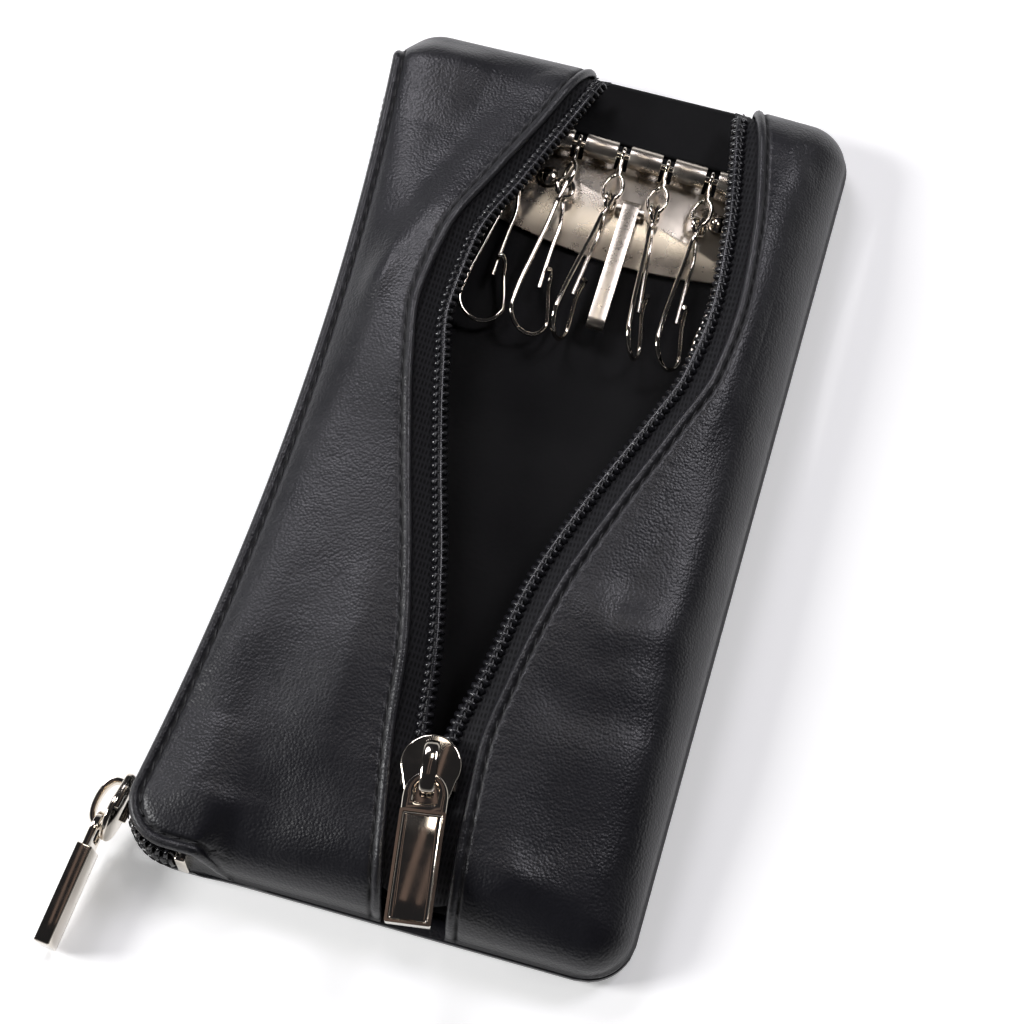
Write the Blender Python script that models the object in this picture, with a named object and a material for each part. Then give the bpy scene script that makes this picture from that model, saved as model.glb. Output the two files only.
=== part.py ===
# Zipped leather key case with a six-hook rail, a rear pocket and two zips.
# Metres, +Z up. The case lies on its back, and its origin is the middle of the back face.
# X runs across the case, Y toward the end that carries the hook rail.
import math

import bmesh
import bpy
from mathutils import Matrix, Vector

# Case
CASE_WIDTH = 0.072
CASE_LENGTH = 0.138
CASE_CORNER = 0.007
SIDE_DRAW_IN = 0.004
LEATHER = 0.0012
GAP = 0.0003
CLEAR = 0.00045
SEAM_FLANGE = 0.0018
BACK_RIM = 0.003
BACK_ROLL = 0.003
FRONT_SEAM = 0.0033
POCKET_SEAM = 0.011
LIP_HEIGHT = 0.018
SIDE_CROWN = 0.0145
EDGE_ROUND = 0.0095
POCKET_ROUND = 0.006
LINING = 0.0008

# Zips
TAPE = 0.0005
TAPE_TUCK = 0.003
TAPE_DROP = 0.0014
TAPE_SHY = 0.0006
TOOTH_PITCH = 0.0012
COIL_WIDTH = 0.0027
COIL_HEIGHT = 0.0018
CHAIN_MID = 0.0060
SIDE_TAPE_FOOT = 0.0023
ZIP_END_INSET = 0.0025
SIDE_ZIP_TOP_INSET = 0.014
SIDE_ZIP_END_INSET = 0.008
SLIDER_WIDTH = 0.0084
SLIDER_LENGTH = 0.0100
SLIDER_PLATE = 0.0009
SLIDER_FLANGE = 0.0009
SLIDER_LIP = 0.0006
SIDE_SLIDER_LIP = 0.00015
SLIDER_CORNER = 0.0012
BRIDGE_WIDTH = 0.0022
BRIDGE_HALF = 0.0040
BRIDGE_HEIGHT = 0.0032
BRIDGE_WALL = 0.0009
BRIDGE_SQUARE_SHARE = 0.45
SLIDER_LEAD = 0.0015
SIDE_SLIDER_INSET = 0.0042
STOP_LENGTH = 0.0016
STOP_THICK = 0.0005
STOP_INSET = 0.0055
PULL_WIDTH = 0.0063
PULL_THICK = 0.0022
PULL_EYE_THICK = 0.0010
PULL_REACH = 0.0204
SIDE_PULL_REACH = 0.0194
PULL_HANG = 0.0011
SIDE_PULL_HANG = 0.0018
SIDE_PULL_ROLL = math.radians(2)
SIDE_PULL_TURN = math.radians(2)
SIDE_PULL_DROOP = math.radians(-5)
PULL_EYE_SLOT = 0.0034
PULL_RECESS = 0.0005
PULL_RIM = 0.0008

# Hook hardware
RAIL_SIDE_INSET = 0.008
RAIL_TOP_INSET = 0.0141
RAIL_Z = 0.007
RAIL_TILT = math.radians(4)
HOOK_COUNT = 6
HOOK_PITCH = 0.007
RAIL_LENGTH = 0.0442
KNUCKLE_GAP = 0.0020
KNUCKLE_RADIUS = 0.00185
ROD_RADIUS = 0.0005
ROD_HEAD = 0.0009
PLATE = 0.0005
PLATE_DROP = 0.0176
PLATE_SIDE_DROP = 0.0146
RIVET_REACH = 0.0135
RIVET_DROP = 0.0064
RIVET_HEAD = 0.0016
RIVET_SHANK = 0.0008
WIRE = 0.00035
LINK_EYE = 0.00115
LINK_NECK = 0.00045
LINK_RING_WIDTH = 0.00145
LINK_RING_LENGTH = 0.0024
LINK_RING_AT = 0.0062
HOOK_EYE = 0.0014
HOOK_LENGTH = 0.0213
HOOK_LOOP = 0.0034
HOOK_SLACK = 0.0003
LOOP_STRIP = 0.0026
LOOP_THICK = 0.0005
LOOP_LENGTH = 0.0225
LUG_DROP = 0.0088
LUG_BAR = 0.00045
LUG_EAR = 0.0005
OVERRUN = 0.002

# Spacing of the mesh rows along the case
PANEL_STEP = 0.009
BACK_STEP = 0.016
TAPE_STEP = 0.006
SIDE_TAPE_STEP = 0.003

# Shares of half the length, half the width and the lip height, from the rail end down:
# y, left leather edge, left coil edge, right coil edge, right leather edge, left lip, right lip
ZIP_SHARES = (
    (1.000, -0.144, -0.033, 0.442, 0.542, 0.70, 0.70),
    (0.835, -0.236, -0.133, 0.500, 0.622, 0.75, 0.76),
    (0.619, -0.378, -0.256, 0.567, 0.694, 0.89, 0.86),
    (0.433, -0.489, -0.358, 0.594, 0.719, 1.00, 0.89),
    (0.275, -0.517, -0.372, 0.564, 0.694, 1.00, 0.89),
    (0.136, -0.469, -0.317, 0.475, 0.606, 1.00, 0.89),
    (-0.078, -0.356, -0.206, 0.319, 0.458, 0.94, 0.89),
    (-0.287, -0.233, -0.086, 0.200, 0.333, 0.92, 0.89),
    (-0.494, -0.131, 0.006, 0.139, 0.261, 0.89, 0.87),
    (-0.638, -0.094, 0.047, 0.086, 0.231, 0.845, 0.845),
    (-0.739, -0.058, 0.0917, 0.0917, 0.242, 0.822, 0.822),
    (-0.855, -0.012, 0.1250, 0.1250, 0.261, 0.778, 0.778),
    (-1.000, 0.042, 0.1667, 0.1667, 0.292, 0.750, 0.750),
)
CLOSED_ROW = 10
ROUND_SHARES = (0.0, 0.04, 0.15, 0.35, 0.65, 1.0)
POCKET_STEP_SHARES = (-0.70, -0.50)
TOP_STEP_SHARES = (0.863, 0.955)
SIDE_CROWN_END_SHARE = 0.80

# One row a hook: twist of the link, roll, turn and lift of the hook, lift of the link, degrees
HOOK_POSES = (
    (30, 8, 0.5, -3.0, 8.0),
    (30, 34, 1.6, -2.0, 8.0),
    (75, 70, -4.0, 3.0, 6.0),
    (75, 70, 7.0, 3.0, 6.0),
    (75, 55, 2.5, 3.0, 6.0),
    (50, 20, 1.5, 0.0, 4.0),
)

HALF_W = CASE_WIDTH / 2
HALF_L = CASE_LENGTH / 2
STRAIGHT = HALF_L - CASE_CORNER
SIDE_ARC = (STRAIGHT ** 2 + SIDE_DRAW_IN ** 2) / (2 * SIDE_DRAW_IN)
SIDE_ARC_X = -HALF_W + SIDE_DRAW_IN - SIDE_ARC
SIDE_ZIP_TOP = HALF_L - SIDE_ZIP_TOP_INSET
SIDE_ZIP_END = -HALF_W + SIDE_ZIP_END_INSET
FRONT_SLIDER_Y = HALF_L * ZIP_SHARES[CLOSED_ROW][0] + SLIDER_LEAD
SIDE_SLIDER_Y = -HALF_L + SIDE_SLIDER_INSET
STOP_Y = -HALF_L + STOP_INSET
RAIL_X = HALF_W - RAIL_SIDE_INSET - RAIL_LENGTH / 2
RAIL_Y = HALF_L - RAIL_TOP_INSET


def clear_scene():
    for obj in list(bpy.data.objects):
        bpy.data.objects.remove(obj, do_unlink=True)


def material(name, colour, roughness, metallic=0.0):
    mat = bpy.data.materials.new(name)
    mat.use_nodes = True
    shader = mat.node_tree.nodes["Principled BSDF"]
    shader.inputs["Base Color"].default_value = (*colour, 1.0)
    shader.inputs["Roughness"].default_value = roughness
    shader.inputs["Metallic"].default_value = metallic
    return mat


def ease(value, start, end):
    t = min(max((value - start) / (end - start), 0.0), 1.0)
    return t * t * (3 - 2 * t)


def column(y, index):
    """Reads one column of ZIP_SHARES at a height y, as a curve without overshoot."""
    share = min(max(y / HALF_L, -1.0), 1.0)
    xs = [row[0] for row in ZIP_SHARES]
    ys = [row[index] for row in ZIP_SHARES]
    last = len(xs) - 1
    slopes = [(ys[i + 1] - ys[i]) / (xs[i + 1] - xs[i]) for i in range(last)]
    bends = [slopes[0]]
    for i in range(1, last):
        same_way = slopes[i - 1] * slopes[i] > 0
        total = slopes[i - 1] + slopes[i]
        bends.append(2 * slopes[i - 1] * slopes[i] / total if same_way else 0.0)
    bends.append(slopes[-1])
    k = 0
    while k < last - 1 and share < xs[k + 1]:
        k += 1
    h = xs[k + 1] - xs[k]
    t = (share - xs[k]) / h
    return (ys[k] * (2 * t ** 3 - 3 * t ** 2 + 1) + bends[k] * h * (t ** 3 - 2 * t ** 2 + t)
            + ys[k + 1] * (3 * t ** 2 - 2 * t ** 3) + bends[k + 1] * h * (t ** 3 - t ** 2))


def zip_centre(y):
    """The straight line that the closed stretch of the front zip lies on."""
    upper, lower = ZIP_SHARES[CLOSED_ROW], ZIP_SHARES[-1]
    t = (y / HALF_L - upper[0]) / (lower[0] - upper[0])
    return HALF_W * (upper[2] + t * (lower[2] - upper[2]))


def leather_edge(side, y):
    return HALF_W * column(y, 1 if side < 0 else 4)


def coil_edge(side, y):
    x = HALF_W * column(y, 2 if side < 0 else 3)
    closed = y <= HALF_L * ZIP_SHARES[CLOSED_ROW][0]
    return (zip_centre(y) if closed else x) + side * GAP / 2


def left_side(y):
    return SIDE_ARC_X + math.sqrt(SIDE_ARC ** 2 - y ** 2)


def outer_x(side, y):
    past = abs(y) - STRAIGHT
    if past > 0:
        past = min(past, CASE_CORNER)
        return side * (HALF_W - CASE_CORNER + math.sqrt(CASE_CORNER ** 2 - past ** 2))
    return HALF_W if side > 0 else left_side(y)


def edge_distance(x, y):
    """How far inside the case's outline a point lies."""
    to_end = HALF_L - abs(y)
    to_side = HALF_W - x if x > 0 else x - left_side(max(min(y, STRAIGHT), -STRAIGHT))
    in_x = CASE_CORNER - to_side
    in_y = CASE_CORNER - to_end
    if in_x > 0 and in_y > 0:
        return max(CASE_CORNER - math.hypot(in_x, in_y), 0.0)
    return max(min(to_side, to_end), 0.0)


def pocket_share(x, y):
    """1 where the side zip lies between the front and the back, 0 elsewhere."""
    across = 1 - ease(x, HALF_W * POCKET_STEP_SHARES[0], HALF_W * POCKET_STEP_SHARES[1])
    along = 1 - ease(y, HALF_L * TOP_STEP_SHARES[0], HALF_L * TOP_STEP_SHARES[1])
    return across * along


def front_z(side, x, y):
    """Height of the front leather's outer face."""
    seam = FRONT_SEAM + (POCKET_SEAM - FRONT_SEAM) * pocket_share(x, y) + LEATHER
    lip = LIP_HEIGHT * column(y, 5 if side < 0 else 6)
    ends = SIDE_CROWN_END_SHARE + (1 - SIDE_CROWN_END_SHARE) * (1 - ease(abs(y), HALF_L / 2, HALF_L))
    outer = outer_x(side, y)
    across = ease((x - outer) / (leather_edge(side, y) - outer), 0.0, 1.0)
    crown = SIDE_CROWN * ends
    crown += max(POCKET_SEAM + 2 * LEATHER - crown, 0.0) * pocket_share(x, y)
    top = crown + (lip - crown) * across
    reach = EDGE_ROUND + (POCKET_ROUND - EDGE_ROUND) * pocket_share(x, y)
    inward = min(max(edge_distance(x, y) - SEAM_FLANGE, 0.0) / reach, 1.0)
    return seam + (top - seam) * math.sqrt(1 - (1 - inward) ** 2)


def front_point(side, x, y, depth=0.0):
    """A point on the front leather, or that far beneath it along its normal."""
    step = LEATHER / 4
    slope_x = (front_z(side, x + step, y) - front_z(side, x - step, y)) / (2 * step)
    slope_y = (front_z(side, x, y + step) - front_z(side, x, y - step)) / (2 * step)
    normal = Vector((-slope_x, -slope_y, 1)).normalized()
    return Vector((x, y, front_z(side, x, y))) - normal * depth


def edge_steps(reach):
    """Distances from the outline: across the sewn flange, then up the rounding behind it."""
    return [0.0] + [SEAM_FLANGE + reach * share for share in ROUND_SHARES]


def panel_rows(spacing):
    ends = [HALF_L - step for step in edge_steps(EDGE_ROUND)]
    count = round(2 * ends[-1] / spacing)
    middle = [ends[-1] * (1 - 2 * i / count) for i in range(1, count)]
    return ends + middle + [-y for y in reversed(ends)]


def panel_columns(outer, inner, reach, count):
    way = 1 if inner > outer else -1
    edge = [outer + way * step for step in edge_steps(reach)]
    return edge + [edge[-1] + (inner - edge[-1]) * i / count for i in range(1, count + 1)]


def new_object(name, mesh, mat, parent=None):
    obj = bpy.data.objects.new(name, mesh)
    bpy.context.collection.objects.link(obj)
    if mat is not None:
        mesh.materials.append(mat)
    obj.parent = parent
    return obj


def finish_mesh(name, bm, mat, parent=None, smooth=40):
    bmesh.ops.recalc_face_normals(bm, faces=bm.faces)
    mesh = bpy.data.meshes.new(name)
    bm.to_mesh(mesh)
    bm.free()
    if smooth:
        mesh.shade_smooth()
        mesh.set_sharp_from_angle(angle=math.radians(smooth))
    return new_object(name, mesh, mat, parent)


def empty(name, location, rotation=(0, 0, 0), parent=None):
    obj = bpy.data.objects.new(name, None)
    bpy.context.collection.objects.link(obj)
    obj.location = location
    obj.rotation_euler = rotation
    obj.parent = parent
    return obj


def sheet(name, rows, thickness, mat, parent=None, flip=False):
    """A grid of points as a skin, thickened behind its faces."""
    bm = bmesh.new()
    grid = [[bm.verts.new(p) for p in row] for row in rows]
    skin = []
    for upper, lower in zip(grid, grid[1:]):
        for i in range(len(upper) - 1):
            ring = [upper[i], lower[i], lower[i + 1], upper[i + 1]]
            skin.append(bm.faces.new(ring[::-1] if flip else ring))
    bm.normal_update()
    behind = {}
    for row in grid:
        for vert in row:
            behind[vert] = bm.verts.new(vert.co - vert.normal * thickness)
    for face in skin:
        bm.faces.new([behind[v] for v in reversed(face.verts)])
    rim = [grid[0][0]] + grid[0][1:] + [row[-1] for row in grid[1:]]
    rim += grid[-1][-2::-1] + [row[0] for row in grid[-2:0:-1]]
    for a, b in zip(rim, rim[1:] + rim[:1]):
        bm.faces.new((a, b, behind[b], behind[a]))
    return finish_mesh(name, bm, mat, parent)


def loft(name, rings, mat, parent=None, closed=False, smooth=40):
    """Joins rings of points into a body, capped at both ends or closed on itself."""
    bm = bmesh.new()
    verts = [[bm.verts.new(p) for p in ring] for ring in rings]
    pairs = list(zip(verts, verts[1:]))
    if closed:
        pairs.append((verts[-1], verts[0]))
    for a, b in pairs:
        for i in range(len(a)):
            j = (i + 1) % len(a)
            bm.faces.new((a[i], a[j], b[j], b[i]))
    if not closed:
        bm.faces.new(verts[0])
        bm.faces.new(verts[-1])
    return finish_mesh(name, bm, mat, parent, smooth=smooth)


def prism(name, outline, low, high, mat, parent=None, axis="Z"):
    """Extrudes an outline along Z or, with axis X, an outline in Y and Z along X."""
    def place(a, b, level):
        return (a, b, level) if axis == "Z" else (level, a, b)
    rings = [[place(a, b, level) for a, b in outline] for level in (low, high)]
    return loft(name, rings, mat, parent, smooth=30)


def wire(name, points, radius, sides, mat, parent=None, closed=False):
    """A round wire along points, with a frame carried along so that it never twists."""
    points = [Vector(p) for p in points]
    count = len(points)
    tangents = []
    for i in range(count):
        ahead = points[(i + 1) % count] if closed else points[min(i + 1, count - 1)]
        behind = points[(i - 1) % count] if closed else points[max(i - 1, 0)]
        tangents.append((ahead - behind).normalized())
    normal = tangents[0].orthogonal().normalized()
    normals = [normal]
    for i in range(1, count):
        normal = (normal - tangents[i] * normal.dot(tangents[i])).normalized()
        normals.append(normal)
    turn = 0.0
    if closed:
        end = (normal - tangents[0] * normal.dot(tangents[0])).normalized()
        turn = end.angle(normals[0])
        if tangents[0].dot(end.cross(normals[0])) < 0:
            turn = -turn
    rings = []
    for i in range(count):
        first = Matrix.Rotation(turn * i / count, 3, tangents[i]) @ normals[i]
        second = tangents[i].cross(first)
        angles = [2 * math.pi * k / sides for k in range(sides)]
        rings.append([points[i] + radius * (math.cos(a) * first + math.sin(a) * second)
                      for a in angles])
    return loft(name, rings, mat, parent, closed=closed, smooth=60)


def curve_through(points, steps):
    """A smooth curve through hand-placed points, steps points to each stretch."""
    points = [Vector(p) for p in points]
    padded = [2 * points[0] - points[1]] + points + [2 * points[-1] - points[-2]]
    result = []
    for i in range(1, len(padded) - 2):
        p0, p1, p2, p3 = padded[i - 1:i + 3]
        for k in range(steps):
            t = k / steps
            result.append(0.5 * (2 * p1 + (p2 - p0) * t + (2 * p0 - 5 * p1 + 4 * p2 - p3) * t ** 2
                                 + (3 * p1 - p0 - 3 * p2 + p3) * t ** 3))
    result.append(points[-1])
    return result


def boolean(obj, other, operation):
    """Cuts or joins with a hidden helper."""
    other.hide_render = True
    other.display_type = "WIRE"
    step = obj.modifiers.new(operation.title(), "BOOLEAN")
    step.operation = operation
    step.solver = "EXACT"
    step.object = other


def settle(obj, parent):
    """Applies an object's modifiers where it was made, then hangs it on its frame."""
    bpy.context.view_layer.update()
    helpers = [step.object for step in obj.modifiers if step.type == "BOOLEAN"]
    graph = bpy.context.evaluated_depsgraph_get()
    mesh = bpy.data.meshes.new_from_object(obj.evaluated_get(graph))
    obj.modifiers.clear()
    obj.data = mesh
    for helper in helpers:
        bpy.data.objects.remove(helper, do_unlink=True)
    obj.parent = parent
    return obj


def rounded_rect(half_x, half_y, radius, per_corner=3):
    corners = ((1, 1, 0), (-1, 1, 90), (-1, -1, 180), (1, -1, 270))
    outline = []
    for sx, sy, start in corners:
        for k in range(per_corner + 1):
            a = math.radians(start + 90 * k / per_corner)
            outline.append((sx * (half_x - radius) + radius * math.cos(a),
                            sy * (half_y - radius) + radius * math.sin(a)))
    return outline


def build_back_panel(leather):
    rows = []
    for y in panel_rows(BACK_STEP):
        left, right = outer_x(-1, y), outer_x(1, y)
        steps = edge_steps(BACK_ROLL)
        xs = [left + step for step in steps] + [0.0] + [right - step for step in reversed(steps)]
        row = []
        for x in xs:
            rim = BACK_RIM + (SIDE_TAPE_FOOT - GAP - BACK_RIM) * pocket_share(x, y) - LEATHER
            inward = min(max(edge_distance(x, y) - SEAM_FLANGE, 0.0) / BACK_ROLL, 1.0)
            row.append((x, y, rim * (1 - math.sqrt(1 - (1 - inward) ** 2))))
        rows.append(row)
    return sheet("back_panel", rows, LEATHER, leather, flip=True)


def build_front_panel(name, side, leather):
    rows = []
    for y in panel_rows(PANEL_STEP):
        outer, inner = outer_x(side, y), leather_edge(side, y)
        xs = panel_columns(outer, inner, min(EDGE_ROUND, abs(inner - outer) / 2), 4)
        rows.append([(x, y, front_z(side, x, y)) for x in xs])
    return sheet(name, rows, LEATHER, leather, flip=side > 0)


def divider_z(x, y):
    """The inner wall slants from the side zip down to the right seam."""
    plane = RAIL_Z - KNUCKLE_RADIUS - GAP - (x - RAIL_X) * math.tan(RAIL_TILT)
    edge = FRONT_SEAM + GAP
    reach = HALF_L - RAIL_Y - KNUCKLE_RADIUS
    held = max(ease(HALF_L - abs(y), SEAM_FLANGE + LEATHER, reach), pocket_share(x, y) if y < 0 else 0.0)
    return edge + (plane - edge) * held


def build_divider(lining):
    inset = SEAM_FLANGE + LEATHER + 2 * GAP
    tape_inset = LEATHER + GAP + TAPE + CLEAR
    rows = []
    count, across = 12, 8
    for j in range(count + 1):
        y = (HALF_L - inset) * math.cos(math.pi * j / count)
        outline_y = y * HALF_L / (HALF_L - inset)
        left = max(outer_x(-1, y), outer_x(-1, outline_y))
        left += inset + (tape_inset - inset) * pocket_share(left, y)
        right = outer_x(1, outline_y) - inset
        xs = [left + (right - left) * i / across for i in range(across + 1)]
        rows.append([(x, y, divider_z(x, y)) for x in xs])
    return sheet("pocket_divider", rows, LINING, lining)


def zip_rows(top, bottom, step):
    count = math.ceil((top - bottom) / step)
    return [top + (bottom - top) * i / count for i in range(count + 1)]


def tape_inner_point(side, y):
    """The top face of the front tape, straight under its coil's inner edge."""
    edge = leather_edge(side, y)
    point = front_point(side, edge, y, LEATHER + CLEAR)
    return Vector((coil_edge(side, y), y, point.z - TAPE_DROP))


def build_front_tape(name, side, cloth):
    rows = []
    for y in zip_rows(HALF_L - ZIP_END_INSET, -HALF_L + ZIP_END_INSET, TAPE_STEP):
        edge = leather_edge(side, y)
        under = front_point(side, edge + side * TAPE_TUCK, y, LEATHER + CLEAR)
        at_edge = front_point(side, edge, y, LEATHER + CLEAR)
        inner = tape_inner_point(side, y) + Vector((side * TAPE_SHY, 0, 0))
        rows.append([under, at_edge, inner])
    return sheet(name, rows, TAPE, cloth, flip=side > 0)


def coil_section(width, height, setback):
    """Half-chain profile from its inner edge outward, and up from the tape."""
    middle = (setback + width) / 2
    return ((setback, height * 0.45), (middle, 0.0), (width, height * 0.4), (middle, height))


def chain_section(width, height):
    """Closed chain profile, across it and out from the tapes."""
    return ((-width, height * 0.5), (-width * 0.7, 0.0), (width * 0.7, 0.0),
            (width, height * 0.5), (width * 0.45, height), (-width * 0.45, height))


def bead(name, path, full, low, mat, phase=0):
    """Teeth along a path of (point, outward direction, up direction), full and low in turn."""
    rings = []
    for i, (point, out, up) in enumerate(path):
        section = full if (i + phase) % 2 == 0 else low
        rings.append([point + out * a + up * b for a, b in section])
    return loft(name, rings, mat, smooth=0)


def build_front_coil(name, side, nylon):
    top, bottom = HALF_L - 2 * ZIP_END_INSET, -HALF_L + 2 * ZIP_END_INSET
    path = []
    for y in zip_rows(top, bottom, TOOTH_PITCH / 2):
        inner = tape_inner_point(side, y)
        edge = front_point(side, leather_edge(side, y), y, LEATHER + CLEAR)
        out = (edge - inner).normalized()
        ahead = tape_inner_point(side, y - TOOTH_PITCH) - inner
        up = ahead.cross(out) if side < 0 else out.cross(ahead)
        up = -up.normalized() if up.z < 0 else up.normalized()
        out = up.cross(ahead).normalized()
        if out.x * side < 0:
            out = -out
        path.append((inner + up * GAP, out, up))
    full = coil_section(COIL_WIDTH, COIL_HEIGHT, 0.0)
    low = coil_section(COIL_WIDTH * 0.86, COIL_HEIGHT * 0.72, COIL_WIDTH * 0.2)
    return bead(name, path, full, low, nylon, phase=0 if side < 0 else 1)


def side_path(inset, step):
    """Points down the left side, round its lower corner and along the lower end."""
    points = []
    for y in zip_rows(SIDE_ZIP_TOP, -STRAIGHT, step):
        out = Vector((SIDE_ARC_X, 0, 0)) - Vector((left_side(y), y, 0))
        points.append((Vector((left_side(y), y, 0)), out.normalized()))
    centre = Vector((-HALF_W + CASE_CORNER, -STRAIGHT, 0))
    arc = CASE_CORNER * math.pi / 2
    count = math.ceil(arc / step)
    for i in range(1, count + 1):
        a = math.pi + (math.pi / 2) * i / count
        out = Vector((math.cos(a), math.sin(a), 0))
        points.append((centre + out * CASE_CORNER, out))
    count = math.ceil((SIDE_ZIP_END - centre.x) / step)
    for i in range(1, count + 1):
        x = centre.x + (SIDE_ZIP_END - centre.x) * i / count
        points.append((Vector((x, -HALF_L, 0)), Vector((0, -1, 0))))
    return [(point - out * inset, out) for point, out in points]


def build_side_tape(name, low, high, cloth):
    rows = []
    for point, _ in side_path(LEATHER + GAP, SIDE_TAPE_STEP):
        rows.append([point + Vector((0, 0, low)), point + Vector((0, 0, high))])
    return sheet(name, rows, TAPE, cloth)


def build_side_chain(nylon):
    path = []
    for point, out in side_path(LEATHER, TOOTH_PITCH / 2):
        path.append((point + Vector((0, 0, CHAIN_MID)), Vector((0, 0, 1)), out))
    half = COIL_WIDTH + GAP / 2
    full = chain_section(half, COIL_HEIGHT)
    low = chain_section(half * 0.92, COIL_HEIGHT * 0.72)
    return bead("side_zip_chain", path, full, low, nylon)


def slider_outline():
    half_w, half_l = SLIDER_WIDTH / 2, SLIDER_LENGTH / 2
    waist = half_w * 0.66
    upper = [(half_w * math.cos(math.radians(a)), half_l - half_w * (1 - math.sin(math.radians(a))))
             for a in range(0, 181, 20)]
    return upper + [(-waist, -half_l * 0.1), (-waist, -half_l + SLIDER_CORNER),
                    (-waist + SLIDER_CORNER, -half_l), (waist - SLIDER_CORNER, -half_l),
                    (waist, -half_l + SLIDER_CORNER), (waist, -half_l * 0.1)]


def build_slider(name, parent, nickel, lip):
    """Local X across the zip, Y toward its open end, Z out; Z = 0 is the coil's top."""
    body = prism(name, slider_outline(), GAP, GAP + SLIDER_PLATE, nickel)
    half_l = SLIDER_LENGTH / 2
    inner = GAP / 2 + COIL_WIDTH + CLEAR
    outer = inner + SLIDER_FLANGE
    low, high = -half_l * 0.94, -half_l * 0.2
    roof = GAP + SLIDER_PLATE * 0.8
    floor = GAP + SLIDER_PLATE * 0.1
    saddle = ((-outer, -lip), (-inner, -lip), (-inner, floor), (inner, floor), (inner, -lip),
              (outer, -lip), (outer, roof), (-outer, roof))
    rings = [[(x, y, z) for x, z in saddle] for y in (low, high)]
    boolean(body, loft(name + "_saddle_guide", rings, nickel, smooth=30), "UNION")
    base = GAP + SLIDER_PLATE / 2
    outer_top = GAP + SLIDER_PLATE + BRIDGE_HEIGHT
    inner_top = outer_top - BRIDGE_WALL
    arc = [math.radians(a) for a in range(0, 181, 20)]
    reach = BRIDGE_HALF - BRIDGE_WALL
    curves = ((BRIDGE_HALF, outer_top - base, arc), (reach, inner_top - base, arc[::-1]))
    profile = [(size * math.cos(a), base + bridge_rise(size * math.cos(a), size, height))
               for size, height, angles in curves for a in angles]
    bridge = prism(name + "_bridge_guide", profile, -BRIDGE_WIDTH / 2, BRIDGE_WIDTH / 2, nickel,
                   axis="X")
    boolean(body, bridge, "UNION")
    return settle(body, parent)


def bridge_rise(y, reach, height):
    """Height of the bridge's curve above its foot at a place along it."""
    return height * max(1 - (y / reach) ** 2, 0.0) ** (BRIDGE_SQUARE_SHARE / 2)


def bridge_middle(y):
    """Height of the hinge bar in the middle of the space under a slider's bridge."""
    top = GAP + SLIDER_PLATE
    foot = GAP + SLIDER_PLATE / 2
    rise = bridge_rise(y, BRIDGE_HALF - BRIDGE_WALL, top + BRIDGE_HEIGHT - BRIDGE_WALL - foot)
    return (top + foot + rise) / 2


def build_pull(name, parent, nickel, reach):
    """Local Y = 0 is the hinge bar; the tab runs down -Y. An eye for the bridge, then a framed bar."""
    eye_end = BRIDGE_HALF + BRIDGE_WALL
    shoulder = eye_end + PULL_RIM
    half_w = PULL_WIDTH / 2
    stations = (
        (-PULL_EYE_THICK / 2, half_w * 0.44, PULL_EYE_THICK),
        (0.0, half_w * 0.70, PULL_EYE_THICK),
        (eye_end * 0.25, half_w * 0.88, PULL_EYE_THICK),
        (eye_end * 0.6, half_w * 0.97, PULL_EYE_THICK),
        (eye_end, half_w * 0.99, PULL_EYE_THICK),
        (shoulder, half_w, PULL_THICK),
        (reach - PULL_RIM, half_w, PULL_THICK),
        (reach, half_w * 0.9, PULL_THICK * 0.8),
    )
    rings = []
    for down, half, thick in stations:
        edge = thick / 4
        rings.append([(-half, -down, -thick / 2 + edge), (-half + edge, -down, -thick / 2),
                      (half - edge, -down, -thick / 2), (half, -down, -thick / 2 + edge),
                      (half, -down, thick / 2 - edge), (half - edge, -down, thick / 2),
                      (-half + edge, -down, thick / 2), (-half, -down, thick / 2 - edge)])
    body = loft(name, rings, nickel, smooth=30)
    slot_low, slot_high = PULL_EYE_THICK / 2, BRIDGE_HALF
    middle = -(slot_low + slot_high) / 2
    slot = [(x, middle + y) for x, y in
            rounded_rect(PULL_EYE_SLOT / 2, (slot_high - slot_low) / 2, PULL_EYE_SLOT / 5)]
    boolean(body, prism(name + "_eye_cutter", slot, -PULL_THICK, PULL_THICK, nickel),
            "DIFFERENCE")
    length = (reach - shoulder) / 2 - PULL_RIM
    middle = -(reach + shoulder) / 2
    field = [(x, middle + y) for x, y in rounded_rect(half_w - PULL_RIM, length, PULL_RIM / 2, 2)]
    floor = PULL_THICK / 2 - PULL_RECESS
    boolean(body, prism(name + "_field_cutter", field, floor, PULL_THICK, nickel),
            "DIFFERENCE")
    return settle(body, parent)


def build_front_slider(nickel):
    y = FRONT_SLIDER_Y
    coil_top = tape_inner_point(-1, y).z + GAP + COIL_HEIGHT
    far_y = HALF_L * ZIP_SHARES[CLOSED_ROW + 1][0]
    far_top = tape_inner_point(-1, far_y).z + GAP + COIL_HEIGHT
    run = Vector((zip_centre(far_y) - zip_centre(y), far_y - y, far_top - coil_top)).normalized()
    across = run.cross(Vector((0, 0, 1))).normalized() * -1
    if across.x < 0:
        across = -across
    out = across.cross(-run)
    frame = empty("front_slider_frame", (zip_centre(y), y, coil_top + GAP))
    frame.rotation_euler = Matrix((across, -run, out)).transposed().to_euler()
    build_slider("front_zip_slider", frame, nickel, SLIDER_LIP)
    hinge = empty("front_pull_hinge", (0, -PULL_HANG, bridge_middle(PULL_HANG)), parent=frame)
    build_pull("front_zip_pull", hinge, nickel, PULL_REACH)


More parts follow.
